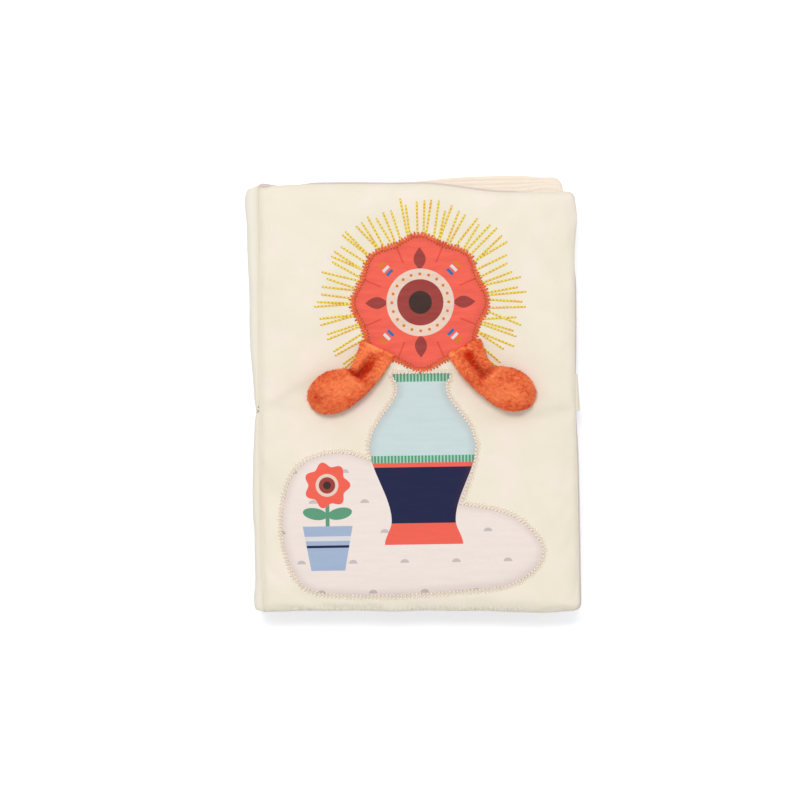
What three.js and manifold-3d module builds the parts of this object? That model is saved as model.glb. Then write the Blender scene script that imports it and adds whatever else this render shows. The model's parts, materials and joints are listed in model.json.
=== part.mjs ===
// A cloth book for a baby: padded velour covers lined with plain cloth, four leaves that hold
// crinkling film, a soft spine, a closing strap, sewn-on patches and two stuffed plush leaves.
// Millimetres. X runs from the spine to the fore edge, Y up the page and Z up from the table.
// The origin lies under the middle of the closed book.

import * as THREE from 'three';
import * as BufferGeometryUtils from 'three/addons/utils/BufferGeometryUtils.js';
import Module from 'manifold-3d';

const wasm = await Module();
wasm.setup();

// Overall size, and the gaps between pieces
const overallWidth = 186;
const overallHeight = 241;
const seamGap = 0.3; // between pieces sewn to each other
const layerGap = 0.4; // between layers that turn apart

// The padded covers
const cover = {
  thickness: 7,
  velourWall: 1.6,
  liningThickness: 0.8,
  cornerRadius: 8,
  spineCornerRadius: 7,
  rimRun: 6, // how far in from the edge the pad reaches its full height
  crownRise: 0.5, // how much the middle stands above the top of the rim
  crownShare: 0.86, // the part of the panel that is at full height
  drawIn: 1.2, // how far each free edge pulls in between its corners
  topSetBack: 0.7, // from the leaves' top edge down to the covers'
  topDip: 6, // how far the front cover's top edge sags towards the fore edge
  dipStart: 8,
  dipEnd: 56,
};

// The leaves
const leafCount = 4;
const leaf = {
  thickness: 4.6,
  filmThickness: 0.5,
  filmMargin: 8,
  cornerRadius: 7,
  spineCornerRadius: 3,
  rimRun: 2.4,
  drawIn: 0.8,
  foreMargin: 4.6, // from the front cover's fore edge in to the leaves'
  bottomMargin: 4,
};

// The spine's velour
const spine = {
  wall: 2.5,
  shoulderWidth: 6.2, // the round shoulder seen beside each cover
  shoulderRadius: 5,
  creaseRadius: 1.2,
  endMargin: 0.6,
  leafEndMargin: 3.5,
};

// The closing strap, with its hook strip and the loop strip on the back cover
const strap = {
  thickness: 2,
  width: 21,
  centreY: 1.4,
  bottom: 1,
  endRadius: 5,
  stripThickness: 0.8,
  stripWidth: 16,
  stripHeight: 4.6,
  stripRadius: 1,
};

// The patches sewn on the front cover
const patchThickness = 0.6;
const flower = { x: 4, y: 52, radius: 36, lobes: 8, lobeDepth: 1.5 };
const vase = {
  x: 4,
  top: 12,
  height: 96,
  rimWidth: 34,
  neckWidth: 28,
  bellyWidth: 60,
  waistWidth: 36,
  footWidth: 44,
};
const neckShare = 0.12;
const bellyShare = 0.42;
const waistShare = 0.86;
const ground = { x: -2, bottom: -112, width: 146, height: 80 };
const groundShares = [
  [-0.49, 0.3],
  [-0.42, 0.06],
  [-0.2, 0],
  [0.15, 0.02],
  [0.4, 0.08],
  [0.5, 0.28],
  [0.4, 0.52],
  [0.2, 0.62],
  [0, 0.68],
  [-0.1, 0.88],
  [-0.28, 1],
  [-0.44, 0.9],
  [-0.5, 0.6],
];

// The stuffed plush leaves
const plush = {
  length: 52, // along its middle line
  rootWidth: 20,
  waistWidth: 16.5,
  fullWidth: 23.5,
  rootThickness: 2.2,
  thickness: 12.5,
  foldDepth: 2.5, // of the soft fold across the leaf at its waist
  waistShare: 0.34, // shares of the length
  thickShare: 0.45,
  fullShare: 0.7,
  foldSpanShare: 0.07,
  bendFromShare: 0.12,
  bendToShare: 0.6,
  tipShare: 0.3, // of the full size, left at the tip of the round end
  rootY: 27,
  leftRootX: -20,
  rightRootX: 28,
};
const leftPlushDirection = THREE.MathUtils.degToRad(245);
const rightPlushDirection = THREE.MathUtils.degToRad(-65);
const plushBend = THREE.MathUtils.degToRad(42);

// How finely round shapes are divided
const cornerSteps = 4;
const edgeSteps = 4;
const dipSteps = 12;
const rimSteps = 4;
const flowerSteps = 64;
const outlineSteps = 52;
const vaseSteps = 16;
const curveSteps = 6;
const plushSections = 18;
const plushSides = 16;

// Places that follow from the sizes
const spineX = -overallWidth / 2;
const strapInnerX = overallWidth / 2 - strap.thickness;
const foreEdge = strapInnerX - seamGap + cover.drawIn;
const hookInnerX = strapInnerX - seamGap - strap.stripThickness;
const loopInnerX = hookInnerX - seamGap - strap.stripThickness;
const padLeft = spineX + spine.shoulderWidth + seamGap;
const leafTop = overallHeight / 2;
const coverTop = leafTop - cover.topSetBack;
const coverBottom = -overallHeight / 2;
const leafStep = leaf.thickness + layerGap;
const frontBottom = cover.thickness + leafCount * leafStep + layerGap;
const frontTop = frontBottom + cover.thickness;
const patchBottom = frontTop + seamGap;
const plushBottom = patchBottom + patchThickness + seamGap;

/** One corner's arc, counter-clockwise from startAngle over a quarter turn. */
function cornerArc(centreX, centreY, radius, startAngle) {
  return Array.from({ length: cornerSteps + 1 }, (_, step) => {
    const angle = startAngle + (step / cornerSteps) * (Math.PI / 2);
    return new THREE.Vector2(centreX + radius * Math.cos(angle), centreY + radius * Math.sin(angle));
  });
}

/** The points between two corners of a panel, pulled towards the inside by a bow of the depth. */
function bowedEdge(from, to, depth, steps) {
  const along = to.clone().sub(from);
  const inward = new THREE.Vector2(-along.y, along.x).normalize();
  return Array.from({ length: steps - 1 }, (_, step) => {
    const share = (step + 1) / steps;
    const bow = depth * Math.sin(Math.PI * share);
    return from.clone().addScaledVector(along, share).addScaledVector(inward, bow);
  });
}

/** A cover's or leaf's outline, counter-clockwise: round corners and edges that pull in. */
function panelOutline({ left, right, bottom, top, radius, spineRadius, drawIn, dip = 0 }) {
  const dipAt = (x) => dip * THREE.MathUtils.smoothstep(x, cover.dipStart, cover.dipEnd);
  const rightTop = top - dipAt(right);
  const bottomLeft = cornerArc(left + spineRadius, bottom + spineRadius, spineRadius, Math.PI);
  const bottomRight = cornerArc(right - radius, bottom + radius, radius, -Math.PI / 2);
  const topRight = cornerArc(right - radius, rightTop - radius, radius, 0);
  const topLeft = cornerArc(left + spineRadius, top - spineRadius, spineRadius, Math.PI / 2);
  const topSteps = dip > 0 ? dipSteps : edgeSteps;
  const levelEnd = new THREE.Vector2(topRight.at(-1).x, topLeft[0].y);
  const topEdge = bowedEdge(levelEnd, topLeft[0], drawIn, topSteps);
  for (const point of topEdge) point.y -= dipAt(point.x);
  return [
    ...bottomLeft,
    ...bowedEdge(bottomLeft.at(-1), bottomRight[0], drawIn, edgeSteps),
    ...bottomRight,
    ...bowedEdge(bottomRight.at(-1), topRight[0], drawIn, edgeSteps),
    ...topRight,
    ...topEdge,
    ...topLeft,
  ];
}

/** The outline moved inwards by a distance, each point along its own corner's bisector. */
function insetOutline(outline, distance) {
  const count = outline.length;
  return outline.map((point, i) => {
    const before = point.clone().sub(outline[(i + count - 1) % count]).normalize();
    const after = outline[(i + 1) % count].clone().sub(point).normalize();
    const along = before.clone().add(after).normalize();
    const inward = new THREE.Vector2(-along.y, along.x);
    return point.clone().addScaledVector(inward, distance / along.dot(after));
  });
}

/** The outline drawn in towards its middle, to a share of its size. */
function shrunkOutline(outline, share) {
  const middle = new THREE.Box2().setFromPoints(outline).getCenter(new THREE.Vector2());
  return outline.map((point) => middle.clone().lerp(point, share));
}

/** A flat triangulation of a ring of 2-D points, as index triples that run counter-clockwise. */
function capTriangles(points) {
  return THREE.ShapeUtils.triangulateShape(points, []).map(([a, b, c]) => {
    const ab = points[b].clone().sub(points[a]);
    const ac = points[c].clone().sub(points[a]);
    return ab.cross(ac) > 0 ? [a, b, c] : [a, c, b];
  });
}

/** One closed body through rings of equal length, each {points, place}, capped at both ends. */
function loft(rings) {
  const count = rings[0].points.length;
  const lastStart = (rings.length - 1) * count;
  const corners = rings.flatMap(({ points, place }) => points.map(place));
  const index = [];
  for (let start = 0; start < lastStart; start += count) {
    for (let i = 0; i < count; i += 1) {
      const a = start + i;
      const b = start + ((i + 1) % count);
      index.push(a, b, b + count, a, b + count, a + count);
    }
  }
  for (const [a, b, c] of capTriangles(rings[0].points)) {
    index.push(c, b, a);
  }
  for (const [a, b, c] of capTriangles(rings.at(-1).points)) {
    index.push(lastStart + a, lastStart + b, lastStart + c);
  }
  const geometry = new THREE.BufferGeometry().setFromPoints(corners);
  geometry.setIndex(index);
  return geometry;
}

/** A level ring at a height. */
function levelRing(points, z) {
  return { points, place: (point) => new THREE.Vector3(point.x, point.y, z) };
}

/** Insets and heights of a soft rim that rises from its seam in a quarter round. */
function softRim(run, rise) {
  return Array.from({ length: rimSteps + 1 }, (_, step) => {
    const angle = (step / rimSteps) * (Math.PI / 2);
    return { inset: run * (1 - Math.cos(angle)), height: rise * Math.sin(angle) };
  });
}

/** Turns a body over in place, so that its top at z = 0 lies at the given height, facing down. */
function turnedOver(geometry, height) {
  const position = geometry.attributes.position;
  for (let i = 0; i < position.count; i += 1) {
    position.setZ(i, height - position.getZ(i));
  }
  const index = geometry.index.array;
  for (let i = 0; i < index.length; i += 3) {
    [index[i], index[i + 1]] = [index[i + 1], index[i]];
  }
  return geometry;
}

// A cover, from its inside face at z = 0 up to the middle of its crown: lining, wadding, velour
const velourSeam = cover.liningThickness + seamGap;
const velourRise = cover.thickness - cover.crownRise - velourSeam;
const cavityInset = cover.velourWall;
const cavityRise = velourRise - cover.velourWall;
const cavityRun = cover.rimRun - cover.velourWall;

/** The velour: a crowned shell with soft sides, open towards the lining. */
function coverVelour(outline) {
  const outer = softRim(cover.rimRun, velourRise).map(({ inset, height }) => (
    levelRing(insetOutline(outline, inset), velourSeam + height)
  ));
  const inner = softRim(cavityRun, cavityRise).map(({ inset, height }) => (
    levelRing(insetOutline(outline, cavityInset + inset), velourSeam + height)
  ));
  const crown = shrunkOutline(insetOutline(outline, cover.rimRun), cover.crownShare);
  return loft([...inner.reverse(), ...outer, levelRing(crown, cover.thickness)]);
}

/** The wadding: a soft-edged pad that fills the shell. */
function coverWadding(outline) {
  const rings = softRim(cavityRun, cavityRise - seamGap).map(({ inset, height }) => (
    levelRing(insetOutline(outline, cavityInset + seamGap + inset), velourSeam + height)
  ));
  return loft(rings);
}

/** A flat sheet of the given thickness, standing on z = 0. */
function flatSheet(outline, thickness) {
  return loft([levelRing(outline, 0), levelRing(outline, thickness)]);
}

const frontOutline = panelOutline({
  left: padLeft,
  right: foreEdge,
  bottom: coverBottom,
  top: coverTop,
  radius: cover.cornerRadius,
  spineRadius: cover.spineCornerRadius,
  drawIn: cover.drawIn,
  dip: cover.topDip,
});

const backOutline = panelOutline({
  left: padLeft,
  right: loopInnerX - seamGap + cover.drawIn,
  bottom: coverBottom,
  top: coverTop,
  radius: cover.cornerRadius,
  spineRadius: cover.spineCornerRadius,
  drawIn: cover.drawIn,
});

// A leaf, from its back at z = 0: a back cloth with a bed for the film, the film, a front cloth
const leafHalf = (leaf.thickness - seamGap) / 2;
const filmBottom = leafHalf - leaf.filmThickness;
const filmBedFloor = filmBottom - seamGap;

/** A leaf's outline with every side moved in by a margin. */
function leafPanel(margin) {
  return panelOutline({
    left: spineX + spine.wall + seamGap + margin,
    right: foreEdge - leaf.foreMargin - margin,
    bottom: coverBottom + leaf.bottomMargin + margin,
    top: leafTop - margin,
    radius: leaf.cornerRadius,
    spineRadius: leaf.spineCornerRadius,
    drawIn: leaf.drawIn,
  });
}

/** The back cloth, with a soft lower edge and the shallow bed on top. */
function leafBackCloth() {
  const outline = leafPanel(0);
  const bed = leafPanel(leaf.filmMargin - seamGap);
  const edge = softRim(leaf.rimRun, leafHalf).reverse().map(({ inset, height }) => (
    levelRing(insetOutline(outline, inset), leafHalf - height)
  ));
  return loft([...edge, levelRing(bed, leafHalf), levelRing(bed, filmBedFloor)]);
}

/** The front cloth, with a soft upper edge. */
function leafFrontCloth() {
  const outline = leafPanel(0);
  const edge = softRim(leaf.rimRun, leafHalf).map(({ inset, height }) => (
    levelRing(insetOutline(outline, inset), height)
  ));
  return loft(edge);
}

/** A length of the spine's velour, by its section in X and Z, centred along Y. */
function spineLength({ width, height, outerRadius, innerRadius, length }) {
  const section = new THREE.Shape();
  section.moveTo(0, 0);
  section.lineTo(width, 0);
  section.lineTo(width, height - innerRadius);
  if (innerRadius > 0) {
    section.absarc(width - innerRadius, height - innerRadius, innerRadius, 0, Math.PI / 2);
  }
  section.lineTo(outerRadius, height);
  if (outerRadius > 0) {
    section.absarc(outerRadius, height - outerRadius, outerRadius, Math.PI / 2, Math.PI);
  }
  const points = openRing(section.getPoints(curveSteps));
  const ringAt = (y) => ({ points, place: (point) => new THREE.Vector3(point.x, y, point.y) });
  return loft([ringAt(length / 2), ringAt(-length / 2)]);
}

/** A ring without repeated points: neighbours that coincide, or an end that closes on its start. */
function openRing(points) {
  return points.filter((point, i) => !point.equals(points[(i + 1) % points.length]));
}

/** The round shoulder of the spine beside a cover, from z = 0 up. */
function spineShoulder() {
  return spineLength({
    width: spine.shoulderWidth,
    height: cover.thickness - cover.crownRise,
    outerRadius: spine.shoulderRadius,
    innerRadius: spine.creaseRadius,
    length: coverTop - coverBottom - 2 * spine.endMargin,
  });
}

/** The spine's wall beside one leaf, from z = 0 up. */
function spineWall() {
  return spineLength({
    width: spine.wall,
    height: leaf.thickness,
    outerRadius: 0,
    innerRadius: 0,
    length: coverTop - coverBottom - 2 * spine.leafEndMargin,
  });
}

/** A flat piece that hangs from z = 0 in the Y-Z plane, from x = 0 out, round at its lower end. */
function hangingTab(width, height, thickness, endRadius) {
  const outline = new THREE.Shape();
  outline.moveTo(width / 2, 0);
  outline.lineTo(-width / 2, 0);
  outline.lineTo(-width / 2, endRadius - height);
  outline.absarc(endRadius - width / 2, endRadius - height, endRadius, Math.PI, 1.5 * Math.PI);
  outline.lineTo(width / 2 - endRadius, -height);
  outline.absarc(width / 2 - endRadius, endRadius - height, endRadius, 1.5 * Math.PI, 2 * Math.PI);
  const points = openRing(outline.getPoints(curveSteps));
  const ringAt = (x) => ({ points, place: (point) => new THREE.Vector3(x, point.x, point.y) });
  return loft([ringAt(0), ringAt(thickness)]);
}

/** The flower patch: a sheet with a scalloped edge. */
function flowerPatch() {
  const outline = Array.from({ length: flowerSteps }, (_, step) => {
    const angle = (step / flowerSteps) * 2 * Math.PI;
    const radius = flower.radius + flower.lobeDepth * Math.cos(flower.lobes * angle);
    return new THREE.Vector2(radius * Math.cos(angle), radius * Math.sin(angle));
  });
  return flatSheet(outline, patchThickness);
}

/** The vase's outline, from its half widths down its height. */
function vaseOutline() {
  const halfWidths = [
    [vase.rimWidth / 2, 0],
    [vase.neckWidth / 2, neckShare],
    [vase.bellyWidth / 2, bellyShare],
    [vase.waistWidth / 2, waistShare],
    [vase.footWidth / 2, 1],
  ];
  const side = new THREE.SplineCurve(halfWidths.map(([x, share]) => (
    new THREE.Vector2(x, vase.top - share * vase.height)
  ))).getPoints(vaseSteps);
  const right = side.map((point) => new THREE.Vector2(vase.x + point.x, point.y)).reverse();
  const left = side.map((point) => new THREE.Vector2(vase.x - point.x, point.y));
  return [...right, ...left];
}

/** The ground's outline: a soft mound, higher towards the spine. */
function groundOutline() {
  const corners = groundShares.map(([across, up]) => new THREE.Vector3(
    ground.x + across * ground.width,
    ground.bottom + up * ground.height,
  ));
  const curve = new THREE.CatmullRomCurve3(corners, true, 'centripetal');
  return openRing(curve.getPoints(outlineSteps).map(({ x, y }) => new THREE.Vector2(x, y)));
}

/** A closed mesh as a solid that can be joined. */
function solidOf(geometry) {
  const merged = BufferGeometryUtils.mergeVertices(geometry);
  return new wasm.Manifold(new wasm.Mesh({
    numProp: 3,
    vertProperties: new Float32Array(merged.attributes.position.array),
    triVerts: new Uint32Array(merged.index.array),
  }));
}

/** The printed patch: the vase and the ground it stands on, in one sheet. */
function printedPatch() {
  const vaseSolid = solidOf(flatSheet(vaseOutline(), patchThickness));
  const groundSolid = solidOf(flatSheet(groundOutline(), patchThickness));
  const joined = vaseSolid.add(groundSolid).getMesh();
  const geometry = new THREE.BufferGeometry();
  geometry.setAttribute('position', new THREE.BufferAttribute(joined.vertProperties, joined.numProp));
  geometry.setIndex(new THREE.BufferAttribute(joined.triVerts, 1));
  return geometry;
}

/** The share of its full size that a plush leaf keeps in its round end. */
function roundedEnd(share) {
  const past = Math.max(share - plush.fullShare, 0) / (1 - plush.fullShare);
  return Math.sqrt(1 - (1 - plush.tipShare ** 2) * past ** 2);
}

/** A plush leaf's width: broad at its sewn root, drawn in at its waist, then full and round. */
function plushWidth(share) {
  const waistWidth = THREE.MathUtils.lerp(
    plush.rootWidth, plush.waistWidth, THREE.MathUtils.smoothstep(share, 0, plush.waistShare),
  );
  const fullness = THREE.MathUtils.smoothstep(share, plush.waistShare, plush.fullShare);
  return THREE.MathUtils.lerp(waistWidth, plush.fullWidth, fullness) * roundedEnd(share);
}

/** A plush leaf's thickness: flat at its sewn root, then stuffed, with a soft fold at its waist. */
function plushThickness(share) {
  const stuffing = THREE.MathUtils.smoothstep(share, 0, plush.thickShare);
  const thickness = THREE.MathUtils.lerp(plush.rootThickness, plush.thickness, stuffing);
  const foldPlace = (share - plush.waistShare) / plush.foldSpanShare;
  return thickness * roundedEnd(share) - plush.foldDepth * Math.exp(-(foldPlace ** 2));
}

/** A stuffed leaf from its sewn root along X, lying on z = 0: it narrows, bends and swells. */
function plushLeaf(bend) {
  const shares = Array.from(
    { length: plushSections + 1 },
    (_, section) => (1 - Math.cos((Math.PI * section) / plushSections)) / 2,
  );
  const turns = shares.map(
    (share) => bend * THREE.MathUtils.smoothstep(share, plush.bendFromShare, plush.bendToShare),
  );
  const middle = new THREE.Vector2();
  const rings = shares.map((share, section) => {
    if (section > 0) {
      const heading = (turns[section - 1] + turns[section]) / 2;
      const run = plush.length * (share - shares[section - 1]);
      middle.add(new THREE.Vector2(run * Math.cos(heading), run * Math.sin(heading)));
    }
    const centre = middle.clone();
    const turn = turns[section];
    const halfWidth = plushWidth(share) / 2;
    const halfHeight = plushThickness(share) / 2;
    const points = Array.from({ length: plushSides }, (_, side) => {
      const angle = (2 * Math.PI * side) / plushSides;
      return new THREE.Vector2(halfWidth * Math.cos(angle), halfHeight * (1 + Math.sin(angle)));
    });
    const place = ({ x, y }) => new THREE.Vector3(
      centre.x - x * Math.sin(turn),
      centre.y + x * Math.cos(turn),
      y,
    );
    return { points, place };
  });
  return loft(rings);
}

// The colours and finishes of the cloths
const cloths = {
  velour: { color: 0xf4ebda, roughness: 0.95 },
  wadding: { color: 0xf5f3ee, roughness: 1 },
  lining: { color: 0xdccdc8, roughness: 0.8 },
  leafCloth: { color: 0xf5e5ce, roughness: 0.85 },
  film: { color: 0xdfe3e6, roughness: 0.3 },
  flowerPrint: { color: 0xf36a58, roughness: 0.8 },
  patchPrint: { color: 0xefe3dc, roughness: 0.8 },
  plush: { color: 0xee7348, roughness: 1 },
  strap: { color: 0xf1e9d8, roughness: 0.9 },
  hook: { color: 0xe9e4da, roughness: 0.6 },
  loop: { color: 0xece6da, roughness: 1 },
};

/** A named piece of the book in its cloth. */
function piece(name, geometry, cloth) {
  const material = new THREE.MeshStandardMaterial({ ...cloths[cloth], metalness: 0 });
  const mesh = new THREE.Mesh(geometry, material);
  mesh.name = name;
  geometry.computeVertexNormals();
  return mesh;
}

/** A group of pieces, placed. */
function assembly(position, ...pieces) {
  const group = new THREE.Group();
  group.position.copy(position);
  group.add(...pieces);
  return group;
}

const spineFoot = new THREE.Vector3(spineX, 0, 0);

/** The back cover, turned over so that its velour faces the table. */
function backCover() {
  const velour = turnedOver(coverVelour(backOutline), cover.thickness);
  const wadding = turnedOver(coverWadding(backOutline), cover.thickness);
  const lining = turnedOver(flatSheet(backOutline, cover.liningThickness), cover.thickness);
  const shoulder = piece('spine_strip_back', turnedOver(spineShoulder(), cover.thickness), 'velour');
  shoulder.position.copy(spineFoot);
  const loop = piece(
    'strap_loop_strip',
    hangingTab(strap.stripWidth, strap.stripHeight, strap.stripThickness, strap.stripRadius),
    'loop',
  );
  loop.position.set(loopInnerX, strap.centreY, (cover.thickness + strap.stripHeight) / 2);
  return assembly(
    new THREE.Vector3(),
    piece('back_cover_velour', velour, 'velour'),
    piece('back_cover_wadding', wadding, 'wadding'),
    piece('back_cover_lining', lining, 'lining'),
    shoulder,
    loop,
  );
}

/** One leaf, numbered from the front of the book. */
function bookLeaf(number) {
  const bottom = cover.thickness + layerGap + (leafCount - number) * leafStep;
  const back = piece(`leaf_${number}_back_cloth`, leafBackCloth(), 'leafCloth');
  const film = flatSheet(leafPanel(leaf.filmMargin), leaf.filmThickness);
  const crinkle = piece(`leaf_${number}_crinkle_film`, film, 'film');
  crinkle.position.z = filmBottom;
  const front = piece(`leaf_${number}_front_cloth`, leafFrontCloth(), 'leafCloth');
  front.position.z = leafHalf + seamGap;
  const wall = piece(`spine_strip_${number}`, spineWall(), 'velour');
  wall.position.copy(spineFoot);
  return assembly(new THREE.Vector3(0, 0, bottom), back, crinkle, front, wall);
}

/** The front cover with the patches sewn on it. */
function frontCover() {
  const shoulder = piece('spine_strip_front', spineShoulder(), 'velour');
  shoulder.position.copy(spineFoot);
  const flowerPiece = piece('flower_patch', flowerPatch(), 'flowerPrint');
  flowerPiece.position.set(flower.x, flower.y, patchBottom - frontBottom);
  const printed = piece('printed_patch', printedPatch(), 'patchPrint');
  printed.position.z = patchBottom - frontBottom;
  return assembly(
    new THREE.Vector3(0, 0, frontBottom),
    piece('front_cover_velour', coverVelour(frontOutline), 'velour'),
    piece('front_cover_wadding', coverWadding(frontOutline), 'wadding'),
    piece('front_cover_lining', flatSheet(frontOutline, cover.liningThickness), 'lining'),
    shoulder,
    flowerPiece,
    printed,
  );
}

/** The strap, sewn into the front cover's fore-edge seam, and the hook strip near its end. */
function closingStrap() {
  const seamZ = frontBottom + cover.liningThickness + seamGap / 2;
  const tab = piece(
    'closing_strap',
    hangingTab(strap.width, seamZ - strap.bottom, strap.thickness, strap.endRadius),
    'strap',
  );
  tab.position.set(strapInnerX, strap.centreY, seamZ);
  const hook = piece(
    'strap_hook_strip',
    hangingTab(strap.stripWidth, strap.stripHeight, strap.stripThickness, strap.stripRadius),
    'hook',
  );
  hook.position.set(hookInnerX, strap.centreY, (cover.thickness + strap.stripHeight) / 2);
  return assembly(new THREE.Vector3(), tab, hook);
}

/** A plush leaf, sewn at its root and lying over the vase. */
function sewnPlush(name, rootX, direction, bend) {
  const mesh = piece(name, plushLeaf(bend), 'plush');
  mesh.position.set(rootX, plush.rootY, plushBottom);
  mesh.rotation.z = direction;
  return mesh;
}

const book = new THREE.Group();
book.add(
  backCover(),
  ...Array.from({ length: leafCount }, (_, layer) => bookLeaf(leafCount - layer)),
  frontCover(),
  closingStrap(),
  sewnPlush('left_plush_leaf', plush.leftRootX, leftPlushDirection, -plushBend),
  sewnPlush('right_plush_leaf', plush.rightRootX, rightPlushDirection, plushBend),
);

export default book;
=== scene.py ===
# %% [markdown]
# # A crinkle cloth book for a baby
#
# The book lies closed on its back cover. Two padded velour covers hold four cloth leaves with
# crinkling film inside, a velour spine joins them, and a short strap closes the fore edge. Sewn
# patches and two stuffed plush leaves decorate the front cover.
#
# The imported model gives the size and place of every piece, so it is loaded first and everything
# else is worked out from it.

import json
import math
import random

import bpy
import numpy as np
from mathutils import Matrix, Vector, noise
from mathutils.bvhtree import BVHTree


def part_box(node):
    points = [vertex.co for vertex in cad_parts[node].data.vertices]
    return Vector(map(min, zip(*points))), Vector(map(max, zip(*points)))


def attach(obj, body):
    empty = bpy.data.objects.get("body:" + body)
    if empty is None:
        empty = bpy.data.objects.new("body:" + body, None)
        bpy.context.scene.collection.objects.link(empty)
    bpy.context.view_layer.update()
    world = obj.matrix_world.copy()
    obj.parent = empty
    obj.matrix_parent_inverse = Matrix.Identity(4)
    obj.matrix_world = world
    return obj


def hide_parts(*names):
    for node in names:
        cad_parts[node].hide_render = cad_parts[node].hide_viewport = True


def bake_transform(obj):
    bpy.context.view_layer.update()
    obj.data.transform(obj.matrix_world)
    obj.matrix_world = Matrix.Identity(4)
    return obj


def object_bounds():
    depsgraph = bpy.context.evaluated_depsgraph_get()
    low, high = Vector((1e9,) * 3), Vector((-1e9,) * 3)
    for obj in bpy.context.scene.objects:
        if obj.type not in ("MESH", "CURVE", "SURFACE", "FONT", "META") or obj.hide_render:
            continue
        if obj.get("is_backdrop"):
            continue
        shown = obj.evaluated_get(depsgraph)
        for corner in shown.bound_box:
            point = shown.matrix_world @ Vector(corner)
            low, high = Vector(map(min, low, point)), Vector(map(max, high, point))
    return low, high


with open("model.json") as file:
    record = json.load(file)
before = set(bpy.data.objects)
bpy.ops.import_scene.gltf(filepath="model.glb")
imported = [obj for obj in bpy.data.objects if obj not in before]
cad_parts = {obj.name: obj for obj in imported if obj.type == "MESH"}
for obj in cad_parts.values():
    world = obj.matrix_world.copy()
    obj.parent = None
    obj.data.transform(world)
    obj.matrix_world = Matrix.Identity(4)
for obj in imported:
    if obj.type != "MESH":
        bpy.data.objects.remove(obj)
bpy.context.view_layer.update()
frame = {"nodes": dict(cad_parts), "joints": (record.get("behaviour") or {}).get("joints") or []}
MM = 0.001

# %% [markdown]
# ## Working one piece at a time
#
# Blender's operators act on whatever is selected, so each piece is selected alone before it is
# worked on. A few small helpers keep that habit and move a mesh's points as one array, which is
# quicker than moving them one by one.

# %% Helpers for selecting and moving points
def select_only(piece):
    """The piece alone is selected and active, in object mode."""
    if bpy.context.object and bpy.context.object.mode != "OBJECT":
        bpy.ops.object.mode_set(mode="OBJECT")
    bpy.ops.object.select_all(action="DESELECT")
    if piece:
        piece.select_set(True)
        bpy.context.view_layer.objects.active = piece


def points_of(piece):
    """The piece's points as rows of x, y, z."""
    flat = np.empty(3 * len(piece.data.vertices), np.float32)
    piece.data.vertices.foreach_get("co", flat)
    return flat.reshape(-1, 3).astype(float)


def move_points(piece, points):
    piece.data.vertices.foreach_set("co", points.astype(np.float32).ravel())
    piece.data.update()


def apply_modifier(piece, kind, **settings):
    """Adds a modifier with its settings and applies it."""
    select_only(piece)
    modifier = piece.modifiers.new(kind.title(), kind)
    for setting, value in settings.items():
        setattr(modifier, setting, value)
    bpy.ops.object.modifier_apply(modifier=modifier.name)


def weld(piece, distance, close=False):
    """Joins the points within this distance and, if asked, closes holes and turns faces out."""
    select_only(piece)
    bpy.ops.object.mode_set(mode="EDIT")
    bpy.ops.mesh.select_all(action="SELECT")
    bpy.ops.mesh.remove_doubles(threshold=distance * MM)
    if close:
        bpy.ops.mesh.fill_holes(sides=0)
        bpy.ops.mesh.normals_make_consistent(inside=False)
    bpy.ops.object.mode_set(mode="OBJECT")


def new_piece(name, points, faces):
    """A piece made of these points, in millimetres, and these faces."""
    mesh = bpy.data.meshes.new(name)
    mesh.from_pydata((points * MM).tolist(), [], faces)
    piece = bpy.data.objects.new(name, mesh)
    bpy.context.collection.objects.link(piece)
    return piece


def smooth_noise(points, size, seed, strength=1.0):
    """Soft random values at the points, which change over the given size."""
    shift = Vector((seed * 7.31, seed * 3.17, seed * 1.93))
    return strength * np.array([noise.noise(Vector(p) / size + shift) for p in points])


def smoothstep(value, low, high):
    share = np.clip((value - low) / (high - low), 0, 1)
    return share * share * (3 - 2 * share)


def mark(piece, name, values):
    """Stores a value for each point of a piece, for its finish to read."""
    made = piece.data.attributes.new(name, "FLOAT", "POINT")
    made.data.foreach_set("value", np.asarray(values, np.float32))


def finish_piece(piece, name, material, body, slot, *replaced, angle=60):
    """Names a piece, gives it its finish and lets it ride on its body."""
    piece.name = name
    piece.data.name = name
    piece.data.materials.clear()
    piece.data.materials.append(material)
    select_only(piece)
    bpy.ops.object.shade_smooth_by_angle(angle=math.radians(angle))
    if body:
        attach(piece, body)
    if replaced:
        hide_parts(*replaced)
    print(name, "has", len(piece.data.polygons), "faces")
    return piece


# %% [markdown]
# ## Shader patterns as sums
#
# Prints are drawn with sums on the surface's coordinates. A small class wraps a node's output, so
# that a sum in Python becomes Math nodes, and one method adds any other node.

# %% Sums on sockets, and a material that adds nodes
class Value:
    """A number that changes over a surface."""

    def __init__(self, finish, socket):
        self.finish = finish
        self.socket = socket

    def math(self, operation, *others):
        return self.finish.node("ShaderNodeMath", {"operation": operation}, self, *others)

    def __add__(self, other):
        return self.math("ADD", other)

    def __sub__(self, other):
        return self.math("SUBTRACT", other)

    def __rsub__(self, other):
        return self.finish.node("ShaderNodeMath", {"operation": "SUBTRACT"}, other, self)

    def __mul__(self, other):
        return self.math("MULTIPLY", other)

    def __truediv__(self, other):
        return self.math("DIVIDE", other)

    def __abs__(self):
        return self.math("ABSOLUTE")

    __radd__ = __add__
    __rmul__ = __mul__


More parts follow.
